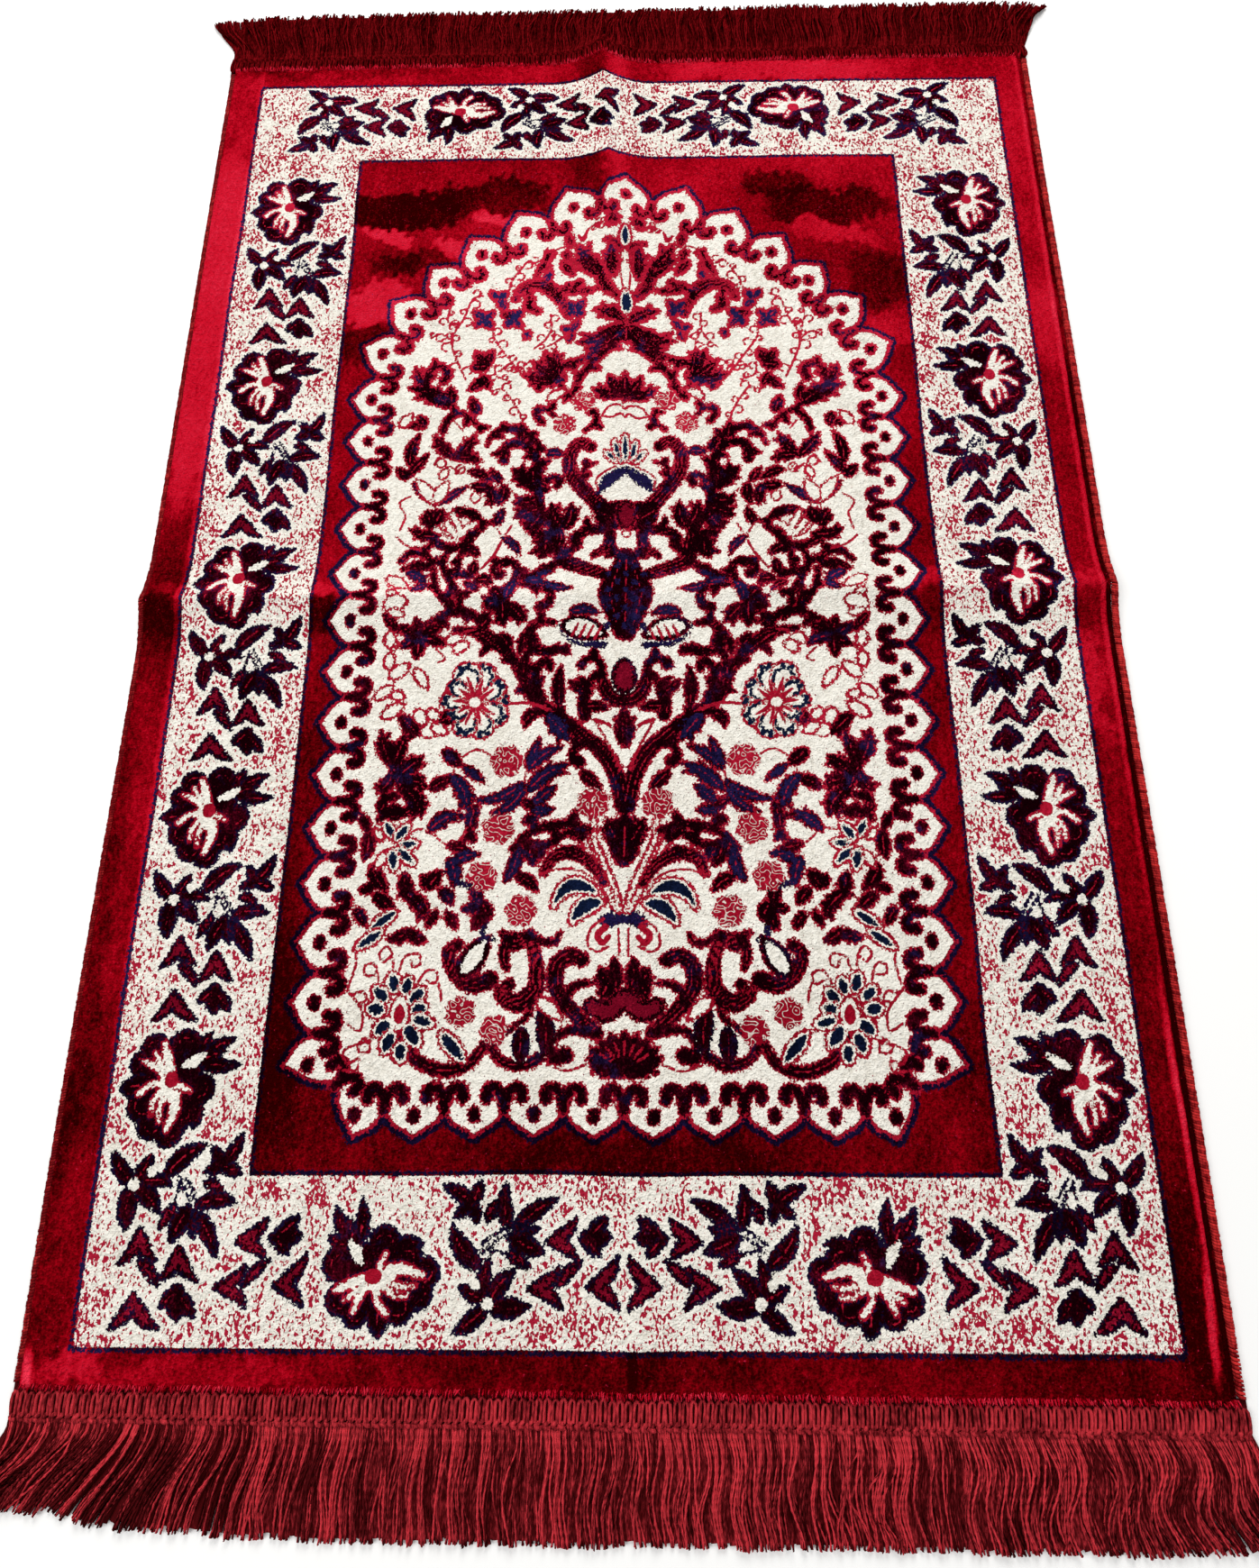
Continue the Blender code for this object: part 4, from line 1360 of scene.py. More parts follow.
def thread_tree() -> bpy.types.NodeTree:
    """A tree that lays a flattened, twisting thread along every line of a mesh."""
    made = PieceTree("threads", Thickness="Float", Flatness="Float", Sides="Int", Material="Material")
    given = made.given
    curve = made.step("GeometryNodeMeshToCurve", Mesh=given["Geometry"])
    sized = made.step("GeometryNodeSetCurveRadius", Curve=curve, Radius=made.named("size"))
    turned = made.step("GeometryNodeSetCurveTilt", Curve=sized, Tilt=made.named("twist"))
    half = made.add("ShaderNodeMath", {"operation": "MULTIPLY"}, {0: given["Thickness"], 1: 0.5})
    circle = {"Resolution": given["Sides"], "Radius": half.outputs[0]}
    ring = made.step("GeometryNodeCurvePrimitiveCircle", {"mode": "RADIUS"}, **circle)
    flat = made.step("ShaderNodeCombineXYZ", X=1.0, Y=given["Flatness"], Z=1.0)
    oval = made.step("GeometryNodeTransform", Geometry=ring, Scale=flat)
    tube = made.step("GeometryNodeCurveToMesh", Curve=turned, Profile_Curve=oval, Fill_Caps=True)
    return made.finish(tube)


def repeat_tree() -> bpy.types.NodeTree:
    """A tree that sets a copy of one small piece on every point of a mesh."""
    made = PieceTree(
        "repeats", Item="Object", Least_size="Float", Most_size="Float", Seed="Int", Material="Material"
    )
    given = made.given
    item = made.add("GeometryNodeObjectInfo", {}, {"Object": given["Item"]})
    size = made.step(
        "FunctionNodeRandomValue",
        {"data_type": "FLOAT"},
        Min=given["Least size"],
        Max=given["Most size"],
        Seed=given["Seed"],
    )
    points = made.step("GeometryNodeMeshToPoints", Mesh=given["Geometry"])
    copies = made.step(
        "GeometryNodeInstanceOnPoints",
        Points=points,
        Instance=item.outputs["Geometry"],
        Rotation=made.named("turn", "FLOAT_VECTOR"),
        Scale=size,
    )
    return made.finish(copies)


def repeated(
    name: str,
    tree: bpy.types.NodeTree,
    item: bpy.types.Object,
    places: np.ndarray,
    numbers: dict[str, np.ndarray],
    **inputs,
) -> bpy.types.Object:
    """Sets copies of a small piece at places, and drops the piece itself.

    Args:
        name: The new piece's name.
        tree: The tree that sets the copies.
        item: The small piece.
        places: One row of X, Y and Z a copy.
        numbers: Each copy's named numbers, with its turn.
        **inputs: The tree's other inputs.

    Returns:
        The copies as one piece.
    """
    mesh = bpy.data.meshes.new(name)
    mesh.from_pydata(places.tolist(), [], [])
    for key, values in numbers.items():
        attribute(mesh, key, values)
    made = baked(linked(name, mesh), tree, Item=item, **inputs)
    bpy.data.objects.remove(item)
    return made


def baked(piece: bpy.types.Object, tree: bpy.types.NodeTree, **inputs) -> bpy.types.Object:
    """Runs a tree on an object and keeps the result as a plain mesh.

    Args:
        piece: The object that the tree reads.
        tree: The tree.
        **inputs: The tree's named inputs, with _ for a space.

    Returns:
        A new object of the same name, with the result as its mesh.
    """
    modifier = piece.modifiers.new("make", "NODES")
    modifier.node_group = tree
    for item in tree.interface.items_tree:
        key = item.name.replace(" ", "_")
        if item.in_out == "INPUT" and key in inputs:
            modifier[item.identifier] = inputs[key]
    graph = bpy.context.evaluated_depsgraph_get()
    graph.update()
    mesh = bpy.data.meshes.new_from_object(piece.evaluated_get(graph))
    name = piece.name
    bpy.data.objects.remove(piece)
    mesh.name = name
    mesh.shade_smooth()
    return linked(name, mesh)


# ==== Shader expressions ===================================================================


class Value:
    """A shader's number, with ordinary arithmetic."""

    def __init__(self, kit: "Shader", socket: bpy.types.NodeSocket) -> None:
        """Wraps an output socket."""
        self.kit = kit
        self.socket = socket

    def __add__(self, other: "Value | float") -> "Value":
        """The sum."""
        return self.kit.maths("ADD", self, other)

    def __sub__(self, other: "Value | float") -> "Value":
        """The difference."""
        return self.kit.maths("SUBTRACT", self, other)

    def __rsub__(self, other: float) -> "Value":
        """The difference from a number."""
        return self.kit.maths("SUBTRACT", other, self)

    def __mul__(self, other: "Value | float") -> "Value":
        """The product."""
        return self.kit.maths("MULTIPLY", self, other)

    __radd__ = __add__
    __rmul__ = __mul__

    def above(self, edge: float, soft: float) -> "Value":
        """1 above an edge and 0 below it, over a soft step."""
        return self.kit.ramp(self, edge - soft, edge + soft)

    def size(self) -> "Value":
        """The number without its sign."""
        return self.kit.maths("ABSOLUTE", self, 0.0)


class Shader(NodeKit):
    """A material's node tree, built from expressions."""

    def __init__(self, name: str) -> None:
        """Starts a material with a Principled shader."""
        self.material = bpy.data.materials.new(name)
        self.material.use_nodes = True
        self.tree = self.material.node_tree
        self.surface = self.tree.nodes["Principled BSDF"]
        self.places = self.add("ShaderNodeTexCoord").outputs["Object"]

    def maths(self, operation: str, first: Value | float, second: Value | float) -> Value:
        """One step of arithmetic."""
        made = self.add("ShaderNodeMath", {"operation": operation}, {0: first, 1: second})
        return Value(self, made.outputs[0])

    def ramp(self, value: Value, low: float, high: float) -> Value:
        """0 at a low value and 1 at a high one, eased between."""
        limits = {"Value": value, "From Min": low, "From Max": high}
        made = self.add("ShaderNodeMapRange", {"interpolation_type": "SMOOTHSTEP"}, limits)
        return Value(self, made.outputs["Result"])

    def blend(self, share: Value | float, first: Input, second: Input) -> bpy.types.NodeSocket:
        """A colour between two, all the second one at a share of 1."""
        made = self.add("ShaderNodeMix", {"data_type": "RGBA"}, {0: share, 6: first, 7: second})
        return made.outputs[2]

    def stretched(self, scale: tuple[float, float, float], turn: float = 0.0) -> bpy.types.NodeSocket:
        """The surface's places, scaled and turned about Z."""
        inputs = {"Vector": self.places, "Scale": scale, "Rotation": (0.0, 0.0, turn)}
        return self.add("ShaderNodeMapping", {"vector_type": "POINT"}, inputs).outputs["Vector"]

    def cloud(self, places: bpy.types.NodeSocket, scale: float, detail: float = 2.0) -> Value:
        """Soft noise about 0, from about -0.5 to 0.5."""
        made = self.add("ShaderNodeTexNoise", {}, {"Vector": places, "Scale": scale, "Detail": detail})
        return Value(self, made.outputs["Fac"]) - 0.5

    def field(self, name: str) -> Value:
        """A mesh's named number."""
        made = self.add("ShaderNodeAttribute", {"attribute_name": name})
        return Value(self, made.outputs["Fac"])

    def bump(self, height: Value, distance: float, strength: float = 1.0) -> None:
        """Raises the surface's shading by a height."""
        inputs = {"Height": height, "Distance": distance, "Strength": strength}
        self.feed(self.surface.inputs["Normal"], self.add("ShaderNodeBump", {}, inputs).outputs["Normal"])

    def constants(self, **values: Input) -> None:
        """Sets the surface's own sockets, with _ for a space."""
        for key, value in values.items():
            self.feed(self.surface.inputs[key.replace("_", " ")], value)


# ==== Finishes =============================================================================


@dataclass(frozen=True)
class VelvetFinish:
    """The cut pile: each layer has a colour in painted shade and one in painted sheen,
    picked by where its pile lies away from the light or towards it.
    """

    # The crimson in painted shade and in painted sheen, then its brighter painted sheen and its painted
    # glints.
    crimson: tuple[Colour, Colour] = ((0.022, 0.00005, 0.0002), (0.50, 0.0008, 0.010))
    lit: Colour = (0.56, 0.010, 0.031)
    glint: Colour = (0.85, 0.035, 0.075)
    cream: tuple[Colour, Colour] = ((0.66, 0.62, 0.54), (0.86, 0.83, 0.75))
    red: tuple[Colour, Colour] = ((0.22, 0.002, 0.010), (0.60, 0.016, 0.050))
    wine: tuple[Colour, Colour] = ((0.006, 0.0001, 0.0012), (0.21, 0.0040, 0.024))
    heart: tuple[Colour, Colour] = ((0.10, 0.001, 0.008), (0.50, 0.012, 0.045))
    navy: tuple[Colour, Colour] = ((0.003, 0.002, 0.012), (0.026, 0.018, 0.105))
    shadow: tuple[Colour, Colour] = ((0.003, 0.0006, 0.004), (0.014, 0.010, 0.060))
    core: tuple[Colour, Colour] = ((0.002, 0.003, 0.010), (0.010, 0.020, 0.07))
    speckle: Colour = (0.36, 0.012, 0.034)
    tuft: float = 0.00125
    tooth: float = 0.0017
    # How ragged each layer's edge is.
    ragged: tuple = (0.8, 1.5, 1.6, 1.3, 2.2, 2.2, 2.4, 1.4, 1.0, 0.5)
    edge: float = 0.12
    speckle_edge: float = 0.038
    speckle_margin: float = 2.2
    # How far the garden inside the niche reaches: to each side, down and up.
    garden: tuple = (0.213, 0.380, 0.375)
    garden_rim: float = 0.008
    # Painted sheen: up the garden, where the pile leans to the light, the red rims are painted
    # wider over the wine. Painted shade: down the garden, where it leans away, all that is dark
    # is painted wider.
    widened_by_sheen: tuple = (("red", 0.45), ("wine", -0.55), ("heart", -0.3))
    widened_by_shade: tuple = (("red", 0.20), ("rose", 0.35), ("wine", 0.20), ("navy", 0.10))

    def make(self) -> bpy.types.Material:
        """Builds the material."""
        kit = Shader("velvet_pile")
        tufts = kit.cloud(kit.places, 1.0 / self.tuft, 1.0)
        others = kit.cloud(kit.stretched((1.0, 0.8, 1.0), 0.7), 1.1 / self.tuft, 1.0)
        grain = kit.cloud(kit.stretched((1.0, 0.55, 1.0)), 420.0, 3.0)
        broad = kit.cloud(kit.stretched((1.0, 0.6, 1.0)), 42.0, 4.0)
        patches = kit.cloud(kit.places, 34.0, 2.0)
        # How lit each tuft is painted: the painted light field with noise; lie picks each layer's painted
        # shade or painted sheen.
        lay = kit.field("nap") + grain * 0.60 + broad * 0.45 + tufts * 0.55
        lie = kit.ramp(lay, 0.0, 1.0)
        lumps = kit.cloud(kit.places, 330.0, 1.0)
        # The cream is painted lighter where the pile's lumps stand higher and darker between them: painted
        # light and painted shade.
        shade = kit.ramp(lumps * 1.1 + grain * 0.5 + broad * 0.6 + tufts * 0.4, -0.5, 0.25)
        mottled = others * 1.3 + patches * 1.4 + grain * 0.8 - kit.field("wine") * 0.30
        mottled = kit.ramp(mottled, -0.38, 0.60)
        wine = kit.blend(mottled * (lie * 1.1 + 0.02), *self.wine)
        navy = kit.blend(lie, *self.navy)
        place = kit.add("ShaderNodeSeparateXYZ", {}, {"Vector": kit.places})
        x, y = Value(kit, place.outputs["X"]), Value(kit, place.outputs["Y"])
        side, down, up = self.garden
        within = kit.ramp(side - x.size(), 0.0, self.garden_rim)
        within = within * kit.ramp(up - y, 0.0, self.garden_rim) * kit.ramp(y + down, 0.0, self.garden_rim)
        inks = kit.cloud(kit.places, 95.0, 2.0) + within * 0.08
        wine = kit.blend(kit.ramp(inks + patches * 0.5 + others * 0.35, 0.14, 0.34) * 0.85, wine, navy)
        # The crimson in painted shade and painted sheen, then painted glints where the painted light is
        # strongest.
        crimson = kit.blend(lie, *self.crimson)
        crimson = kit.blend(kit.ramp(lay, 0.45, 1.20), crimson, self.lit)
        crimson = kit.blend(kit.ramp(lay + tufts * 0.3, 0.95, 1.55), crimson, self.glint)
        cream = kit.blend(shade, *self.cream)
        red = kit.blend(lie, *self.red)
        worms = kit.maths("SINE", kit.cloud(kit.places, 230.0, 0.0) * 24.0, 0.0)
        colours = {
            "cream": self.speckled(kit, cream, others),
            "shadow": kit.blend(lie, *self.shadow),
            "red": red,
            "rose": kit.blend(worms.above(0.88, 0.25), red, cream),
            "wine": wine,
            "navy": navy,
            "heart": kit.blend(mottled * 0.7 + 0.1, *self.heart),
            "bloom": cream,
            "core": kit.blend(lie, *self.core),
            "vein": red,
        }
        teeth = kit.cloud(kit.stretched((1.0, 0.85, 1.0), 0.4), 1.0 / self.tooth, 1.0)
        frayed = teeth * 1.25 + tufts * 0.95
        # Up the garden the rims are painted wider as painted sheen, and down it the dark as painted shade.
        paler = within * kit.ramp(y, 0.05, 0.25)
        shade_widening = within * kit.ramp(0.02 - y, 0.0, 0.12)
        up, down = dict(self.widened_by_sheen), dict(self.widened_by_shade)
        colour = crimson
        for (name, yarn), ragged in zip(colours.items(), self.ragged):
            reach = kit.field(name) + frayed * ragged
            reach = reach + paler * up.get(name, 0.0) + shade_widening * down.get(name, 0.0)
            mask = kit.ramp(reach, -self.edge, self.edge)
            colour = kit.blend(mask, colour, yarn)
        kit.feed(kit.surface.inputs["Base Color"], colour)
        kit.bump(tufts + grain * 0.8 + lumps * 0.5, 0.0016, 1.0)
        kit.constants(Roughness=1.0, Specular_IOR_Level=0.0)
        return kit.material

    def speckled(self, kit: Shader, ground: bpy.types.NodeSocket, others: Value) -> bpy.types.NodeSocket:
        """Strews the border's small red tufts over its cream.

        Args:
            kit: The shader.
            ground: The cream's colour.
            others: Tuft noise, for their ragged edges.

        Returns:
            The speckled colour.
        """
        drift = kit.cloud(kit.places, 62.0, 2.0)
        short = kit.cloud(kit.stretched((1.0, 0.62, 1.0), 0.35), 640.0, 1.0)
        clear = kit.ramp(kit.field("halo"), self.speckle_margin - 1.5, self.speckle_margin + 1.5)
        amount = (short + drift * 0.42 + others * 0.08) * clear
        return kit.blend(amount.above(self.speckle_edge, 0.012), ground, self.speckle)


@dataclass(frozen=True)
class BackingFinish:
    """The underside: a plain woven ground of natural cotton with red weft showing."""

    dark: Colour = (0.30, 0.22, 0.15)
    light: Colour = (0.62, 0.52, 0.40)
    red: Colour = (0.34, 0.05, 0.05)
    pick: float = 0.0022

    def make(self) -> bpy.types.Material:
        """Builds the material."""
        kit = Shader("woven_backing")
        inputs = {"Vector": kit.places, "Scale": 0.314 / self.pick, "Distortion": 0.4, "Detail": 1.0}
        across, along = (
            Value(kit, kit.add("ShaderNodeTexWave", {"bands_direction": way}, inputs).outputs["Fac"])
            for way in "XY"
        )
        weave = across * along
        uneven = kit.cloud(kit.places, 60.0, 3.0)
        colour = kit.blend(kit.ramp(weave + uneven * 0.4, 0.1, 0.8), self.dark, self.light)
        weft = kit.cloud(kit.stretched((0.2, 1.0, 1.0)), 260.0, 1.0).above(0.08, 0.03)
        kit.feed(kit.surface.inputs["Base Color"], kit.blend(weft * 0.6, colour, self.red))
        kit.bump(weave, 0.0006)
        kit.constants(Roughness=0.92, Specular_IOR_Level=0.15)
        return kit.material


@dataclass(frozen=True)
class YarnFinish:
    """Dyed yarn: fringe, header and serging."""

    name: str
    dark: Colour
    light: Colour
    fibre: float = 0.0004
    gloss: float = 0.05

    def make(self) -> bpy.types.Material:
        """Builds the material."""
        kit = Shader(self.name)
        fibres = kit.cloud(kit.places, 1.0 / self.fibre, 2.0)
        strands = kit.cloud(kit.stretched((1.0, 0.26, 1.0)), 1000.0, 1.0)
        patches = kit.cloud(kit.places, 70.0, 2.0)
        share = kit.ramp(kit.field("shade") + strands * 1.3 + fibres * 0.4 + patches * 0.5, 0.0, 1.0)
        kit.feed(kit.surface.inputs["Base Color"], kit.blend(share, self.dark, self.light))
        kit.bump(fibres, 0.0004)
        kit.constants(Roughness=0.75, Specular_IOR_Level=self.gloss)
        return kit.material


@dataclass(frozen=True)
class FloorFinish:
    """The plain pale floor."""

    colour: Colour = (0.90, 0.90, 0.89)

    def make(self) -> bpy.types.Material:
        """Builds the material."""
        kit = Shader("pale_floor")
        kit.constants(Base_Color=self.colour, Roughness=0.9, Specular_IOR_Level=0.1)
        return kit.material


# ==== The pile cloth =======================================================================


@dataclass(frozen=True)
class LightPatch:
    """A patch of velvet painted lighter or darker: painted sheen where lighter is positive, painted shade
    where it is negative.
    """

    x: float
    y: float
    across: float
    along: float
    lighter: float
    turn: float = 0.0
    soft: float = 0.35


# Patches of painted sheen and painted shade, where the pile lies one way or the other and so catches more or
# less light.
LIGHT_PATCHES = tuple(
    LightPatch(*row)
    for row in (
        # The plain field above the niche, left then right.
        (-0.180, 0.327, 0.044, 0.019, -0.44, 0.03, 0.12),
        (-0.105, 0.341, 0.044, 0.016, -0.36, 0.02, 0.14),
        (-0.168, 0.276, 0.030, 0.010, -0.30, 0.10, 0.14),
        (-0.188, 0.302, 0.022, 0.006, 0.52, -0.30, 0.14),
        (-0.106, 0.321, 0.018, 0.006, 0.52, -0.30, 0.14),
        (-0.137, 0.291, 0.012, 0.008, 0.46, 0.20, 0.14),
        (-0.190, 0.238, 0.024, 0.020, 0.50, 0.20, 0.12),
        (-0.196, 0.196, 0.018, 0.018, -0.22, 0.10, 0.14),
        (0.120, 0.352, 0.030, 0.012, -0.34, -0.10, 0.14),
        (0.035, 0.342, 0.045, 0.024, 0.08, 0.0, 0.25),
        (0.160, 0.330, 0.050, 0.016, -0.34, -0.05, 0.16),
        (0.165, 0.302, 0.034, 0.010, 0.26, -0.2, 0.18),
        (0.196, 0.256, 0.024, 0.026, -0.22, 0.0, 0.2),
        (0.196, 0.208, 0.018, 0.016, 0.22, 0.0, 0.3),
        # The strips beside and below the niche.
        (-0.210, -0.30, 0.014, 0.10, -0.16, 0.0, 0.4),
        (-0.210, -0.085, 0.014, 0.022, 0.08, 0.0, 0.4),
        (-0.210, -0.028, 0.014, 0.012, -0.24, 0.0, 0.3),
        (0.311, -0.075, 0.007, 0.040, 0.22, 0.0, 0.3),
        (0.210, -0.35, 0.014, 0.04, -0.09, 0.0, 0.4),
        (0.210, 0.12, 0.012, 0.09, -0.10, 0.0, 0.4),
        (0.0, -0.372, 0.09, 0.012, -0.12, 0.0, 0.3),
        # The outer band: left side, right side, near end, far end.
        (-0.320, 0.225, 0.016, 0.170, 0.38, 0.0, 0.12),
        (-0.320, 0.440, 0.016, 0.040, 0.14, 0.0, 0.3),
        (-0.320, -0.015, 0.016, 0.040, -0.18, 0.0, 0.4),
        (-0.320, -0.130, 0.016, 0.060, 0.16, 0.0, 0.4),
        (-0.318, -0.420, 0.016, 0.050, 0.10, 0.0, 0.4),
        (-0.332, -0.260, 0.009, 0.170, -0.14, 0.0, 0.4),
        (0.320, 0.330, 0.016, 0.140, 0.14, 0.0, 0.4),
        (0.320, 0.215, 0.016, 0.030, 0.18, 0.0, 0.5),
        (0.318, -0.085, 0.014, 0.050, 0.26, 0.0, 0.4),
        (0.320, -0.430, 0.016, 0.050, -0.19, 0.0, 0.4),
        (-0.312, -0.484, 0.022, 0.010, 0.34, 0.3, 0.4),
        (-0.3305, -0.482, 0.0030, 0.012, 0.90, 0.1, 0.4),
        (-0.235, -0.482, 0.070, 0.010, 0.24, 0.0, 0.4),
        (0.000, -0.480, 0.130, 0.010, -0.09, 0.0, 0.4),
        (0.005, -0.479, 0.0022, 0.0085, -0.60, 0.0, 0.5),
        (0.120, 0.474, 0.090, 0.012, 0.34, 0.0, 0.3),
        (-0.070, 0.472, 0.040, 0.012, 0.12, 0.0, 0.4),
        (-0.240, 0.479, 0.090, 0.006, -0.18, 0.0, 0.4),
        # Painted highlights on the lips along the left rule and on the right side's shoulder over its
        # groove, and painted shade in the groove.
        (-0.3080, 0.0, 0.0022, 0.470, 0.30, 0.0, 0.4),
        (0.3262, 0.12, 0.0018, 0.37, 0.40, 0.0, 0.4),
        (0.3262, -0.365, 0.0020, 0.075, 0.80, 0.014, 0.4),
        (0.3240, -0.455, 0.0024, 0.026, 0.90, -0.05, 0.4),
        (0.3310, 0.0, 0.0020, 0.485, -0.40, 0.0, 0.4),
        # Along the creases: a painted highlight on the crest and painted shade just below it.
        (-0.21, -0.008, 0.14, 0.006, 0.30, 0.0, 0.5),
        (-0.21, -0.030, 0.14, 0.014, -0.12, 0.0, 0.5),
        (0.21, -0.004, 0.14, 0.006, 0.28, 0.0, 0.5),
        (0.21, -0.026, 0.14, 0.014, -0.10, 0.0, 0.5),
        (-0.030, 0.42, 0.012, 0.09, -0.25, 0.0, 0.5),
        (-0.008, 0.42, 0.010, 0.09, 0.25, 0.0, 0.5),
    )
)
# Painted sheen along the rug, the velvet painted lighter from the near end to the far one: (Y, lightness).
LIGHTNESS = (
    (-0.49, 0.30), (-0.30, 0.30), (-0.10, 0.34), (0.05, 0.42), (0.25, 0.50), (0.49, 0.54),
)


@dataclass
class PileCloth:
    """The velvet pile over its woven ground, in four quarters that meet at the creases."""

    finish: VelvetFinish
    backing: BackingFinish
    ground_thickness: float = 0.0013
    side_round: tuple = ((-0.0004, -0.0009), (0.0, -0.0024), (0.0, -0.0046))
    end_round: tuple = ((0.0010, -0.0006), (0.0020, -0.0016), (0.0006, -0.0038))
    tuft_height: float = 0.00028
    # The pile's right edge was trimmed back, so a groove runs beside the binding.
    groove: float = 0.0026
    groove_width: float = 0.0048
    groove_slope: float = 0.0020
    tuft_seed: int = 7
    # The pile's rims stay this far over the cloth's underside.
    rim_height: float = 0.0008
    stray_weave: float = 0.0007
    stray_period: float = 0.075
    # Grid lines of the ground cloth, from a crease's crest.
    crease_lines: tuple = (0.0015, 0.003, 0.006, 0.009, 0.0135, 0.018, 0.024, 0.030, 0.038, 0.046)
    flat_lines: tuple = (6, 9)

    def painted_lightness(self, x: np.ndarray, y: np.ndarray) -> np.ndarray:
        """The painted sheen and painted shade at each point, from 0 to 1 and a little beyond."""
        ragged_x = wander_field(x, y, 0.020, 1.0) * 0.0045 + wander_field(x, y, 0.006, 2.0) * 0.0022
        ragged_y = wander_field(x, y, 0.024, 3.0) * 0.0060 + wander_field(x, y, 0.005, 4.0) * 0.0040
        light = eased(LIGHTNESS, y, 1) + 0.10 * wander_field(x, y, 0.11, 5.0)
        for patch in LIGHT_PATCHES:
            torn = min(1.0, min(patch.across, patch.along) / 0.007) ** 2
            dx, dy = x + torn * ragged_x - patch.x, y + torn * ragged_y - patch.y
            across = dx * math.cos(patch.turn) + dy * math.sin(patch.turn)
            along = dy * math.cos(patch.turn) - dx * math.sin(patch.turn)
            away = (np.abs(across / patch.across) ** 3 + np.abs(along / patch.along) ** 3) ** (1 / 3)
            inside = np.clip((1.0 + patch.soft - away) / (2.0 * patch.soft), 0.0, 1.0)
            light = light + patch.lighter * inside * inside * (3.0 - 2.0 * inside)
        return light

    def surface(self, chart: TuftChart) -> tuple[np.ndarray, dict[str, np.ndarray]]:
        """Lays the chart's grid over the folded rug, with its rounded rims.

        Args:
            chart: The woven chart.

        Returns:
            The points as (row, column, 3), and each field as (row, column).
        """
        rims = len(self.side_round)
        across = np.concatenate([chart.xs[:-1], -chart.xs[::-1]]) / -chart.xs[0]
        along = chart.ys / chart.ys[-1]
        x, y = FORM.place(across[None, :], along[:, None])
        x, y = np.broadcast_arrays(x, y)
        inside = (1.0 - across[None, :] ** 8) * (1.0 - along[:, None] ** 8)
        x = x + self.stray_weave * inside * wander_field(x, y, self.stray_period, 6.0)
        y = y + self.stray_weave * inside * wander_field(x, y, self.stray_period, 7.0)
        z = FORM.lift(x, y) + FORM.thickness
        past = (x - FORM.half_width + self.groove_width) / self.groove_slope
        z = z - self.groove * np.clip(past, 0.0, 1.0)
        random = np.random.default_rng(self.tuft_seed)
        z = z + self.tuft_height * random.uniform(-1.0, 1.0, z.shape)
        fields = {layer.name.lower(): chart.mirrored(chart.fields[layer.value]) for layer in Layer}
        fields["halo"] = chart.mirrored(chart.halo)
        fields["nap"] = self.painted_lightness(x, y)
        points = np.stack([x, y, z], axis=-1)
        points = np.pad(points, ((rims, rims), (rims, rims), (0, 0)), mode="edge")
        for step, (out, down) in enumerate(self.side_round):
            for column, way in ((rims - 1 - step, -1.0), (step - rims, 1.0)):
                points[:, column] += (way * out, 0.0, down)
        for step, (out, down) in enumerate(self.end_round):
            for row, way in ((rims - 1 - step, -1.0), (step - rims, 1.0)):
                frayed = random.uniform(0.5, 1.5, points.shape[1])
                points[row, :, 1] += way * out * frayed
                points[row, :, 2] += down
        under = FORM.lift(points[..., 0], points[..., 1])
        points[..., 2] = np.maximum(points[..., 2], under + self.rim_height)
        return points, {key: np.pad(field, rims, mode="edge") for key, field in fields.items()}

    def make_quarters(self, chart: TuftChart) -> list[bpy.types.Object]:
        """Builds the pile's four quarters.

        Args:
            chart: The woven chart.

        Returns:
            The four pieces.
        """
        points, fields = self.surface(chart)
        rows, columns = points.shape[:2]
        slope_y, slope_x = np.gradient(points, axis=(0, 1))
        normals = np.cross(slope_x, slope_y)
        normals /= np.maximum(np.linalg.norm(normals, axis=-1, keepdims=True), 1e-12)
        crest = int(np.argmin(np.abs(points[:, columns // 2, 1] - FORM.width_crease[2][1])))
        middle = columns // 2
        material = self.finish.make()
        pieces = []
        for end, lines in (("near", slice(0, crest + 1)), ("far", slice(crest, rows))):
            for side, places in (("left", slice(0, middle + 1)), ("right", slice(middle, columns))):
                part = points[lines, places]
                made = quad_mesh(f"pile_{end}_{side}", part.reshape(-1, 3), grid_quads(*part.shape[:2]))
                for key, field in fields.items():
                    attribute(made.data, key, field[lines, places].ravel())
                made.data.normals_split_custom_set_from_vertices(normals[lines, places].reshape(-1, 3))
                self.flat_map(made)
                made.data.materials.append(material)
                pieces.append(made)
        return pieces

    def flat_map(self, piece: bpy.types.Object) -> None:
        """Gives a piece a plan-view UV map."""
        mesh = piece.data
        corners = np.empty(len(mesh.loops), np.int32)
        mesh.loops.foreach_get("vertex_index", corners)
        places = np.empty(3 * len(mesh.vertices), np.float32)
        mesh.vertices.foreach_get("co", places)
        flat = places.reshape(-1, 3)[:, :2]
        low, size = flat.min(axis=0), np.ptp(flat, axis=0)
        layer = mesh.uv_layers.new(name="OFBake")
        layer.data.foreach_set("uv", ((flat - low) / size.max())[corners].ravel())

    def lines(self, flat: int) -> np.ndarray:
        """Shares of the cloth's width or length at which the ground has grid lines."""
        offsets = np.array([0.0, *self.crease_lines]) / FORM.half_width
        outer = np.linspace(offsets[-1], 1.0, flat + 1)[1:]
        return np.concatenate([-outer[::-1], -offsets[:0:-1], offsets, outer])

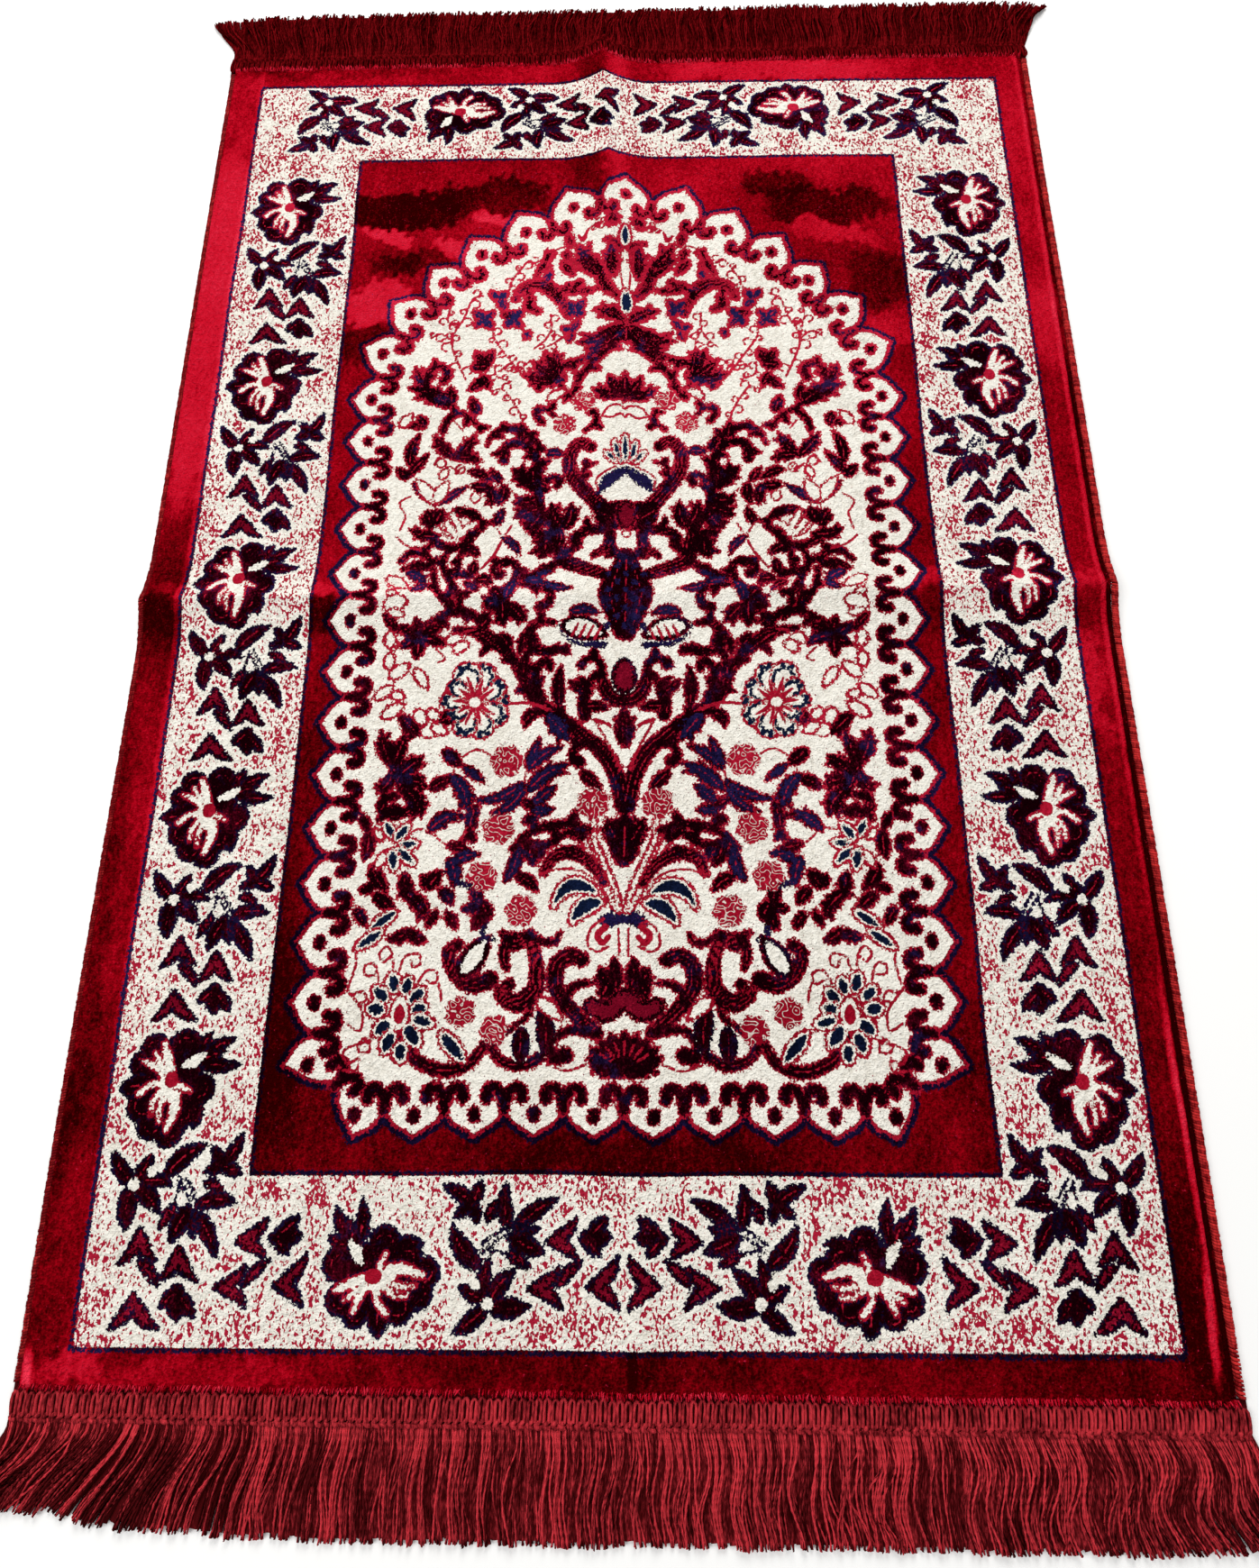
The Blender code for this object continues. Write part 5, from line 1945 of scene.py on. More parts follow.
    def make_ground(self) -> bpy.types.Object:
        """Builds the woven ground under the pile, one thin closed sheet."""
        across, along = (self.lines(flat) for flat in self.flat_lines)
        x, y = FORM.place(across[None, :], along[:, None])
        x, y = np.broadcast_arrays(x, y)
        fold = 1.0 - np.abs(across[None, :])
        x = x + fold * eased(FORM.length_crease, y, 1)
        y = y + (1.0 - np.abs(along[:, None])) * eased(FORM.width_crease, x, 1)
        under = np.stack([x, y, FORM.lift(x, y)], axis=-1)
        over = under + (0.0, 0.0, self.ground_thickness)
        rows, columns = x.shape
        faces = grid_quads(rows, columns)
        count = rows * columns
        numbers = np.arange(count).reshape(rows, columns)
        rim = np.concatenate([numbers[0], numbers[1:, -1], numbers[-1, -2::-1], numbers[-2:0:-1, 0]])
        after = np.roll(rim, -1)
        walls = np.stack([rim, after, after + count, rim + count], axis=1)
        quads = np.concatenate([faces[:, ::-1], faces + count, walls])
        made = quad_mesh("woven_ground", np.concatenate([under, over]).reshape(-1, 3), quads)
        made.data.set_sharp_from_angle(angle=math.radians(50.0))
        made.data.materials.append(self.backing.make())
        return made

    def make(self, chart: TuftChart) -> list[bpy.types.Object]:
        """Builds the ground and the pile; the ground comes first."""
        return [self.make_ground(), *self.make_quarters(chart)]


def wander_field(x: np.ndarray, y: np.ndarray, period: float, seed: float) -> np.ndarray:
    """A smooth unevenness between about -1 and 1 over the rug.

    Args:
        x: The points' X.
        y: The points' Y.
        period: The size of its swells.
        seed: Which unevenness.

    Returns:
        Its value at each point.
    """
    random = np.random.default_rng(int(seed))
    total = np.zeros(np.broadcast(x, y).shape)
    waves = 9
    for _ in range(waves):
        turn, phase = random.uniform(0.0, math.tau, 2)
        step = random.uniform(0.6, 1.5) * math.tau / (2.2 * period)
        bend = 0.9 * np.sin(step * 0.6 * (y * math.cos(turn) - x * math.sin(turn)) + phase * 2.0)
        total += np.sin(step * (x * math.cos(turn) + y * math.sin(turn)) + bend + phase)
    return total / math.sqrt(waves / 2.0) / 2.0


# ==== The serged sides =====================================================================


def closed_tube(name: str, rings: np.ndarray) -> bpy.types.Object:
    """Makes a closed tube from its rings of points.

    Args:
        name: Its name.
        rings: Points as (ring, point, 3).

    Returns:
        The object.
    """
    count, sides, _ = rings.shape
    ends = np.array([rings[0].mean(axis=0), rings[-1].mean(axis=0)])
    faces = grid_quads(count, sides, closed=True).tolist()
    first, last, top = count * sides, count * sides + 1, (count - 1) * sides
    for k in range(sides):
        after = (k + 1) % sides
        faces += [(after, first, k), (top + after, last, top + k)]
    mesh = bpy.data.meshes.new(name)
    mesh.from_pydata(np.concatenate([rings.reshape(-1, 3), ends]).tolist(), [], faces)
    mesh.update()
    mesh.shade_smooth()
    shape = bmesh.new()
    shape.from_mesh(mesh)
    bmesh.ops.recalc_face_normals(shape, faces=shape.faces)
    shape.to_mesh(mesh)
    shape.free()
    return linked(name, mesh)


@dataclass
class SideBinding:
    """The overlocked yarn along one long side: wraps over a filled core."""

    side: float
    name: str
    finish: YarnFinish
    repeats: bpy.types.NodeTree
    seed: int
    # The range of the wraps' shades.
    shades: tuple
    stitch: float = 0.0016
    height: float = 0.0038
    yarn: float = 0.0018
    slant: float = 0.0030
    core_sides: int = 8
    core_rings: int = 150
    core_shade: float = 0.05
    wrap_sides: int = 4
    wrap_places: int = 6
    wrapped: tuple = (-0.17, 0.67)

    def edge(self, count: int, spare: float = 0.0) -> np.ndarray:
        """Points along the cloth's edge, from the near end to the far one."""
        along = np.linspace(-1.0 + spare, 1.0 - spare, count)
        x, y = FORM.place(np.full(count, self.side), along)
        x = x + self.side * FORM.piece_gap
        return np.stack([x, y, FORM.lift(x, y)], axis=1)

    def section(self, share: np.ndarray, shrink: float) -> np.ndarray:
        """Points round the binding's rounded section, as (out, up) from the cloth's edge."""
        turn = math.tau * share
        power = 0.7
        cosine, sine = np.cos(turn), np.sin(turn)
        out = np.sign(cosine) * np.abs(cosine) ** power
        up = np.sign(sine) * np.abs(sine) ** power
        middle = np.array((FORM.binding_width, self.height)) / 2.0
        return middle + (middle - shrink) * np.stack([out, up], axis=1)

    def make_core(self) -> bpy.types.Object:
        """Builds the filled core inside the wraps."""
        edge = self.edge(self.core_rings)
        section = self.section(np.arange(self.core_sides) / self.core_sides, self.yarn * 0.75)
        rings = np.repeat(edge[:, None, :], self.core_sides, axis=1)
        rings[:, :, 0] += self.side * section[None, :, 0]
        rings[:, :, 2] += section[None, :, 1]
        made = closed_tube(f"{self.name}_core", rings)
        attribute(made.data, "shade", np.full(len(made.data.vertices), self.core_shade))
        return made

    def make_wrap(self) -> bpy.types.Object:
        """Builds one wrap of yarn round the section, slanting along the edge."""
        share = np.linspace(*self.wrapped, self.wrap_places)
        line = self.section(share, self.yarn * 0.5)
        way = np.gradient(line, axis=0)
        way /= np.linalg.norm(way, axis=1, keepdims=True)
        turn = math.tau * (np.arange(self.wrap_sides) + 0.5) / self.wrap_sides
        off = 0.5 * self.yarn * np.cos(turn)
        x = self.side * (line[:, :1] - way[:, 1:] * off)
        y = self.slant * (share[:, None] - 0.25) + 0.55 * self.yarn * np.sin(turn)
        return closed_tube(f"{self.name}_wrap", np.stack([x, y, line[:, 1:] + way[:, :1] * off], axis=-1))

    def make(self) -> bpy.types.Object:
        """Builds the binding as one piece."""
        material = self.finish.make()
        count = round(2.0 * FORM.half_length / self.stitch)
        edge = self.edge(count, 0.002)
        ahead = np.gradient(edge, axis=0)
        turns = np.zeros_like(edge)
        turns[:, 0] = np.arctan2(ahead[:, 2], ahead[:, 1])
        turns[:, 2] = np.arctan2(-ahead[:, 0], ahead[:, 1])
        random = np.random.default_rng(self.seed)
        numbers = {"turn": turns, "shade": random.uniform(*self.shades, count)}
        sizes = {"Least_size": 0.97, "Most_size": 1.05, "Seed": 3}
        sizes["Material"] = material
        wraps = repeated(self.name, self.repeats, self.make_wrap(), edge, numbers, **sizes)
        return joined(self.name, [wraps, self.make_core()], material)


def joined(name: str, pieces: list[bpy.types.Object], material: bpy.types.Material) -> bpy.types.Object:
    """Joins pieces of one finish into one mesh.

    Args:
        name: The new piece's name.
        pieces: The pieces; the first keeps its object.
        material: Their finish.

    Returns:
        The joined piece.
    """
    for piece in pieces:
        piece.data.materials.clear()
        piece.data.materials.append(material)
    made = pieces[0]
    chosen = {"selected_objects": pieces, "selected_editable_objects": pieces}
    with bpy.context.temp_override(active_object=made, object=made, **chosen):
        bpy.ops.object.join()
    made.name = name
    made.data.name = name
    return made


# ==== The fringes ==========================================================================

# How the yarns lean at their tips: (share of the way across from the left, metres of X).
NEAR_LEAN = (
    (0.00, -0.0330), (0.07, -0.0350), (0.14, -0.0210), (0.22, -0.0080), (0.32, -0.0010), (0.62, 0.0010),
    (0.86, 0.0010), (0.93, 0.0020), (1.00, 0.0230),
)
FAR_LEAN = (
    (0.00, -0.0190), (0.05, -0.0110), (0.14, -0.0020), (0.30, 0.0020), (0.46, 0.0045), (0.56, -0.0010),
    (0.78, 0.0010), (0.94, 0.0080), (1.00, 0.0190),
)
# How strongly the yarns wave from side to side: (share of the way across, metres).
NEAR_WAVE = ((0.0, 0.0014), (0.25, 0.0010), (0.55, 0.0011), (0.72, 0.0016), (1.0, 0.0020))
FAR_WAVE = ((0.0, 0.0022), (0.2, 0.0014), (0.8, 0.0014), (1.0, 0.0024))
# How far neighbouring yarns sway together, likewise.
NEAR_SWAY = ((0.0, 0.0030), (0.3, 0.0018), (0.55, 0.0026), (0.72, 0.0062), (1.0, 0.0070))
FAR_SWAY = ((0.0, 0.0040), (0.2, 0.0024), (0.8, 0.0024), (1.0, 0.0040))
# How light the yarns lie, likewise, as an added shade, then how much they differ, how much they
# differ in clumps, the matted yarns' painted shade under the loose yarns, and the header cords' shades.
NEAR_SHADES = (((0.0, -0.28), (0.14, -0.26), (0.26, 0.06), (1.0, 0.08)), 1.7, 0.36, 0.12, (0.32, 0.76))
FAR_SHADES = (((0.0, 0.0), (1.0, 0.0)), 1.0, 0.0, 0.42, (0.26, 0.58))


@dataclass
class FringeTrim:
    """The fringe trim at one end: tape, header cords, chain stitches and loose yarns."""

    end: float
    name: str
    finish: YarnFinish
    threads: bpy.types.NodeTree
    repeats: bpy.types.NodeTree
    lean: tuple
    wave: tuple
    swaying: tuple
    length: float
    cut: float
    seed: int
    shading: tuple
    contrast: float
    clumping: float
    matted: float
    header_shade: tuple
    locks: int = 136
    header: float = 0.0195
    tape_thickness: float = 0.0011
    loops: int = 152
    loop_start: float = 0.0046
    cord: float = 0.0022
    # A loop's arch: (share of the pitch across, share of the way out, share of the cord up).
    arch: tuple = (
        (-0.29, 1.0, 0.30), (-0.31, 0.62, 0.62), (-0.33, 0.30, 0.72), (-0.28, 0.10, 0.62),
        (-0.12, 0.0, 0.45), (0.12, 0.0, 0.45), (0.28, 0.10, 0.62), (0.33, 0.30, 0.72), (0.31, 0.62, 0.62),
        (0.29, 1.0, 0.30),
    )
    chain_rows: tuple = (0.0161, 0.0179)
    chain_thickness: float = 0.0013
    link_swell: tuple = (0.30, 0.95, 1.0, 0.80, 0.20)
    link_sides: int = 5
    yarns_a_lock: int = 7
    yarn: float = 0.0017
    flatness: float = 0.62
    lay: float = 0.0095
    steps: int = 15
    lock_width: float = 0.0062
    lock_steps: int = 10
    cut_period: float = 0.021
    sway_period: float = 0.034
    clump_period: float = 0.009
    layers: float = 0.0046
    parting: float = 0.0016
    stray_lean: float = 0.0013
    lean_wander: float = 0.0030
    lean_period: float = 0.031
    most_lean: float = 0.044
    uneven_tips: float = 0.0016
    # The share of yarns that wave much more than the others, and how much more.
    wild: tuple = (0.07, 3.0)
    # The yarns' part of the way to the next one, at the root and in the lock's waist.
    gathered: tuple = (0.92, 0.50)

    @property
    def half(self) -> float:
        """Half the trim's width."""
        return FORM.half_width + FORM.piece_gap + FORM.binding_width

    def on_header(self, x: np.ndarray, out: np.ndarray, up: float) -> np.ndarray:
        """Points over the header, at a way out from the cloth and a height."""
        y = FORM.end_y(self.end, x) + self.end * (FORM.piece_gap + out)
        return np.stack([x, y, FORM.lift(x, y) + up], axis=-1)

    def make_tape(self) -> bpy.types.Object:
        """Builds the thin woven tape that carries the header."""
        x = np.linspace(-self.half, self.half, 240)
        start, stop, top = 0.0002, self.header, self.tape_thickness
        section = ((start, 0.0), (stop, 0.0), (stop, top), (start, top))
        rings = np.stack([self.on_header(x, np.full_like(x, out), up) for out, up in section], axis=1)
        made = closed_tube(f"{self.name}_tape", rings)
        attribute(made.data, "shade", np.full(len(made.data.vertices), 0.0))
        return made

    def make_cords(self, material: bpy.types.Material) -> bpy.types.Object:
        """Builds the header's row of plump wrapped loops, one arch of cord each."""
        random = np.random.default_rng(self.seed)
        pitch = 2.0 * self.half / self.loops
        x = -self.half + pitch * (np.arange(self.loops) + 0.5) + random.normal(0.0, 0.00015, self.loops)
        x = x[:, None]
        top, foot = self.loop_start, self.chain_rows[0] - 0.0004
        across, out, swell = np.array(self.arch).T[:, None]
        across, out = across * pitch, out * (foot - top) + top
        out = out + random.normal(0.0, 0.00035, (self.loops, 1)) * (foot - out) / (foot - top)
        lean = random.normal(0.0005, 0.00030, (self.loops, 1)) * (foot - out) / (foot - top)
        lines = self.on_header(x + across + lean, out, 0.0)
        lines[..., 2] += self.tape_thickness + self.cord * swell
        walked = np.linspace(0.0, 0.024, out.shape[1])[None, :]
        twist = random.uniform(0.0, math.tau, (self.loops, 1)) + math.tau * walked / 0.045
        shade = random.uniform(*self.header_shade, (self.loops, 1))
        made = line_mesh(f"{self.name}_cords", lines, twist=twist, size=np.ones((1, 1)), shade=shade)
        return baked(made, self.threads, Thickness=self.cord, Flatness=0.78, Sides=5, Material=material)

    def make_link(self) -> bpy.types.Object:
        """Builds one link of the chain stitch: a plump leaf-shaped bead with a cleft."""
        share = np.linspace(0.0, 1.0, len(self.link_swell))[:, None]
        radius = np.array(self.link_swell)[:, None] * self.chain_thickness
        turn = math.tau * np.arange(self.link_sides) / self.link_sides
        x = (share - 0.5) * 2.0 * self.half / self.loops * 1.12 + 0.0 * turn
        z = radius * np.sin(turn) + 0.0002 * np.sin(math.pi * share)
        return closed_tube(f"{self.name}_link", np.stack([x, radius * 1.1 * np.cos(turn), z], axis=-1))

    def make_chain(self, material: bpy.types.Material) -> bpy.types.Object:
        """Builds the rows of chain stitches that hold the cords down."""
        random = np.random.default_rng(self.seed + 1)
        count = self.loops
        places, turns, shades = [], [], []
        for row, out in enumerate(self.chain_rows):
            x = -self.half + (np.arange(count) + 0.5) * 2.0 * self.half / count
            at = self.on_header(x, np.full(count, out), self.tape_thickness + 0.0007)
            at[:, :2] += random.normal(0.0, 0.00010, (count, 2))
            places.append(at)
            turn = np.zeros((count, 3))
            turn[:, 2] = (0.55 if row else -0.55) * self.end + random.normal(0.0, 0.08, count)
            turns.append(turn)
            shades.append(random.uniform(0.25, 0.60, count))
        name, link = f"{self.name}_chain", self.make_link()
        numbers = {"turn": np.concatenate(turns), "shade": np.concatenate(shades)}
        sizes = {"Least_size": 0.92, "Most_size": 1.08, "Seed": 5}
        at = np.concatenate(places)
        return repeated(name, self.repeats, link, at, numbers, **sizes, Material=material)

    def make_locks(self, material: bpy.types.Material) -> bpy.types.Object:
        """Builds the lowest yarns, matted flat on the floor, one ribbon a lock."""
        share = ((np.arange(self.locks) + 0.5) / self.locks)[:, None]
        root = -self.half + 2.0 * self.half * share
        t = np.linspace(0.0, 1.0, self.lock_steps + 1)[None, :]
        lean = eased(self.lean, share, 1)
        cut = self.cut_short(share)
        out = np.sqrt((0.985 * self.length - cut) ** 2 - lean**2)
        x = root + lean * t * t * (2.0 - t)
        x += self.swayed(root, share, t)
        base = FORM.end_y(self.end, root) + self.end * (FORM.piece_gap + self.header - 0.002)
        y = base + self.end * out * t
        z = FORM.lift(x, y) * (1.0 - t) ** 2 + 0.0008 + 0.0 * x
        # The matted ribbons are painted darker by the matted shade: painted shade under and between the
        # loose yarns.
        made = line_mesh(
            f"{self.name}_locks",
            np.stack([x, y, z], axis=-1),
            twist=np.zeros_like(x),
            size=np.broadcast_to(1.0 - 0.30 * t**4, x.shape),
            shade=np.full_like(x, self.matted) + eased(self.shading, share, 1),
        )
        shape = {"Thickness": self.lock_width, "Flatness": 0.2, "Sides": 6}
        return baked(made, self.threads, **shape, Material=material)

    def cut_short(self, share: np.ndarray) -> np.ndarray:
        """How much shorter the yarns are cut, by the share of the way across."""
        return self.cut * (0.5 + 0.5 * wander(share, self.cut_period, self.end * 1.6))

    def swayed(self, root: np.ndarray, share: np.ndarray, t: np.ndarray) -> np.ndarray:
        """How far sideways yarns sway together.

        Args:
            root: Their roots' X.
            share: Their roots' share of the way across.
            t: From 0 at the roots to 1 at the tips.

        Returns:
            Metres of X for each yarn and place.
        """
        lag = 1.6 * wander(root, 0.09, self.end * 7.6)
        swing = np.sin(math.tau * 1.15 * t + lag) - np.sin(lag)
        amount = 0.75 + 0.9 * wander(root, self.sway_period, self.end * 2.6)
        return eased(self.swaying, share, 1) * amount * 0.5 * swing

    def yarn_lines(self) -> tuple[np.ndarray, np.ndarray]:
        """Draws the middle line of every loose yarn.

        Returns:
            The points as (yarn, point, 3), and each yarn's random numbers.
        """
        random = np.random.default_rng(self.seed + 2)
        count = self.locks * self.yarns_a_lock
        lock = np.repeat(np.arange(self.locks), self.yarns_a_lock)
        within = np.tile(np.arange(self.yarns_a_lock) - (self.yarns_a_lock - 1) / 2.0, self.locks)
        pitch = 2.0 * self.half / self.locks
        share = ((lock + 0.5) / self.locks)[:, None]
        step = pitch / self.yarns_a_lock
        root = -self.half + pitch * (lock + 0.5) + within * step * self.gathered[0]
        root = (root + random.normal(0.0, 0.0002, count))[:, None]
        t = np.linspace(0.0, 1.0, self.steps + 1)[None, :]
        # Each lock parts from its neighbours, so dark gaps open between them.
        parted = random.normal(0.0, self.parting, (3, self.locks))[:, lock, None]
        lean = eased(self.lean, share, 1) + self.stray_lean * random.normal(0.0, 1.0, (count, 1)) + parted[0]
        lean += self.lean_wander * wander(share, self.lean_period, self.end * 4.2)
        cut = self.cut_short(share)
        length = self.length - cut - self.uneven_tips * random.uniform(0.0, 1.0, (count, 1)) ** 2
        out = np.sqrt(length**2 - np.clip(lean, -self.most_lean, self.most_lean) ** 2)
        wild = np.where(random.uniform(0.0, 1.0, (count, 1)) < self.wild[0], self.wild[1], 1.0)
        wave = eased(self.wave, share, 1) * random.uniform(0.2, 1.0, (count, 1)) * wild
        phase = random.uniform(0.0, math.tau, (count, 1)) * 0.35 + 5.0 * wander(share, 0.05, 3.3)
        turns = random.uniform(0.75, 1.5, (count, 1))
        x = root + lean * t * t * (2.0 - t)
        waist = np.sin(math.pi * np.minimum(t * 0.8, 1.0)) ** 1.5
        x -= within[:, None] * step * self.gathered[1] * waist
        x += 0.7 * parted[1] * np.sin(math.tau * t * 0.8) * np.minimum(1.0, 2.0 * t)
        x += self.swayed(root, share, t)
        x += wave * (np.sin(math.tau * turns * t + phase) - np.sin(phase)) * np.minimum(1.0, 3.0 * t)
        base = FORM.end_y(self.end, root) + self.end * (FORM.piece_gap + self.chain_rows[1] - 0.0006)
        y = base + self.end * (out + self.header - self.chain_rows[1]) * t
        height = random.uniform(0.0, 1.0, (count, 1))
        settle = (1.0 - t) ** 3
        rest = 0.55 * self.yarn + self.layers * height * (0.30 + 0.70 * np.sin(math.pi * t) ** 0.7)
        rest = rest + 0.0004 * np.sin(math.tau * (1.3 * t + height))
        z = FORM.lift(x, y) * (1.0 - t) ** 2 + rest * (1.0 - settle)
        z = z + settle * (self.tape_thickness + 0.0006)
        z = np.maximum(z, 0.5 * self.yarn)
        return np.stack([x, y, z], axis=-1), random.uniform(0.0, 1.0, (count, 1))

    def make_yarns(self, material: bpy.types.Material) -> bpy.types.Object:
        """Builds the loose two-ply yarns."""
        lines, chance = self.yarn_lines()
        walked = walked_along(lines)
        twist = math.tau * (walked / self.lay + chance)
        tips = 1.0 - 0.12 * (walked / walked[:, -1:]) ** 8
        share = (lines[:, :1, 0] / self.half + 1.0) / 2.0
        uneven = 0.74 * (np.modf(chance * 7.0)[0] - 0.5)
        clumps = self.clumping * wander(share, self.clump_period, self.end * 9.1)
        shade = 0.49 + self.contrast * uneven + clumps + eased(self.shading, share, 1)
        made = line_mesh(
            f"{self.name}_yarns",
            lines,
            twist=twist,
            size=(0.86 + 0.28 * chance) * tips,
            shade=shade * np.ones_like(walked),
        )
        shape = {"Thickness": self.yarn, "Flatness": self.flatness, "Sides": 4}
        return baked(made, self.threads, **shape, Material=material)

    def make(self) -> list[bpy.types.Object]:
        """Builds the header, then the loose yarns."""
        material = self.finish.make()
        header = [self.make_cords(material), self.make_chain(material), self.make_tape()]
        header = joined(f"{self.name}_header", header, material)
        yarns = [self.make_yarns(material), self.make_locks(material)]
        return [header, joined(f"{self.name}_yarns", yarns, material)]


# ==== Pile tips at the ends ================================================================


@dataclass
class EdgeTufts:
    """The pile's last tufts at an end, leaning out over the header."""

    end: float
    name: str
    repeats: bpy.types.NodeTree
    seed: int
    pitch: float = 0.0011
    rows: int = 2
    length: float = 0.0042
    width: float = 0.0013

    def make_tuft(self) -> bpy.types.Object:
        """Builds one tuft, a three-sided tapering tip along Y."""
        share, size = np.array(((0.0, 1.0), (0.55, 0.85), (1.0, 0.25))).T[:, :, None]
        turn = math.tau * np.arange(3) / 3.0
        x, z = 0.5 * self.width * size * np.cos(turn), 0.5 * self.width * size * np.sin(turn)
        return closed_tube(f"{self.name}_tip", np.stack([x, self.length * share + 0.0 * x, z], axis=-1))

    def make(self, material: bpy.types.Material) -> bpy.types.Object:
        """Builds the row of tufts in the pile's own finish."""
        random = np.random.default_rng(self.seed)
        count = int(2.0 * FORM.half_width / self.pitch)
        places, turns = [], []
        for row in range(self.rows):
            x = np.linspace(-FORM.half_width + 0.001, FORM.half_width - 0.001, count)
            x = x + random.uniform(-0.5, 0.5, count) * self.pitch
            y = FORM.end_y(self.end, x) + self.end * (0.0009 * wander(x, 0.017, 2.2) - 0.0006 * row)
            z = FORM.lift(x, y) + FORM.thickness - 0.0018 + 0.0011 * row
            z = z + random.normal(0, 0.0002, count)
            places.append(np.stack([x, y, z], axis=1))
            turn = np.zeros((count, 3))
            turn[:, 0] = (0.30 + 0.25 * row) + random.normal(0.0, 0.22, count)
            turn[:, 2] = random.normal(0.0, 0.30, count) + (math.pi if self.end < 0 else 0.0)
            turns.append(turn)
        # The tips get their own painted light, brighter and uneven: painted sheen and painted glints on the
        # leaning tips.
        bright = 0.75 + 0.45 * wander(np.tile(x, self.rows), 0.024, 8.1)
        numbers = {"turn": np.concatenate(turns)}
        numbers |= {layer.name.lower(): np.full(bright.shape, -1.0) for layer in Layer}
        numbers["nap"] = bright + random.uniform(-0.35, 0.55, len(bright))
        numbers["halo"] = np.zeros(bright.shape)
        inputs = {"Least_size": 0.6, "Most_size": 1.15, "Seed": 9, "Material": material}
        at = np.concatenate(places)
        return repeated(self.name, self.repeats, self.make_tuft(), at, numbers, **inputs)


# ==== The studio ===========================================================================


@dataclass(frozen=True)
class Studio:
    """The pale floor, the soft lights and the camera."""

    camera_place: tuple = (0.0102, -0.2876, 0.5318)
    camera_turn: tuple = (14.959, 0.768, 0.029)
    lens: float = 19.22
    sensor: float = 36.0
    floor_size: float = 8.0
    world: float = 0.40
    # Area lights: (place, aim, size, power, colour).
    lights: tuple = (
        ((0.2, 2.5, 1.7), (0.0, 0.1, 0.0), 1.6, 72.0, (1.0, 0.99, 0.97)),
        ((-1.8, -0.3, 2.0), (0.0, 0.0, 0.0), 1.6, 34.0, (1.0, 0.99, 0.98)),
        ((1.5, -1.2, 2.4), (0.0, -0.1, 0.0), 2.0, 14.0, (0.98, 0.99, 1.0)),
    )

    def make_camera(self) -> None:
        """Sets the camera where the photographer held theirs."""
        data = bpy.data.cameras.new("camera")
        data.lens = self.lens
        data.sensor_width = self.sensor
        data.sensor_fit = "AUTO"
        data.clip_start = 0.01
        camera = linked("camera", data)
        turn = Euler([math.radians(angle) for angle in self.camera_turn], "XYZ")
        camera.matrix_world = Matrix.Translation(self.camera_place) @ turn.to_matrix().to_4x4()
        bpy.context.scene.camera = camera

    def make_lights(self) -> None:
        """Hangs the soft lights."""
        for number, (place, aim, size, power, colour) in enumerate(self.lights):
            data = bpy.data.lights.new(f"light_{number}", "AREA")
            data.shape = "DISK"
            data.size = size
            data.energy = power
            data.color = colour
            light = linked(data.name, data)
            way = Vector(aim) - Vector(place)
            turn = way.to_track_quat("-Z", "Y").to_matrix().to_4x4()
            light.matrix_world = Matrix.Translation(place) @ turn
        world = bpy.data.worlds.new("studio")
        world.use_nodes = True
        background = world.node_tree.nodes["Background"]
        background.inputs["Color"].default_value = (1.0, 1.0, 1.0, 1.0)
        background.inputs["Strength"].default_value = self.world
        bpy.context.scene.world = world
        bpy.context.scene.view_settings.view_transform = "Standard"

    def make_floor(self) -> None:
        """Lays the plain floor."""
        half = self.floor_size / 2.0
        corners = np.array([(-half, -half, 0), (half, -half, 0), (half, half, 0), (-half, half, 0)])
        floor = quad_mesh("floor", corners - (0.0, 0.0, 0.0002), np.array([[0, 1, 2, 3]]))
        floor.data.materials.append(FloorFinish().make())

    def make(self) -> None:
        """Sets up the whole studio."""
        self.make_camera()
        self.make_lights()
        self.make_floor()


# ==== The rug ==============================================================================


def triangles(piece: bpy.types.Object) -> int:
    """How many triangles a mesh piece has."""
    return sum(len(face.vertices) - 2 for face in piece.data.polygons)


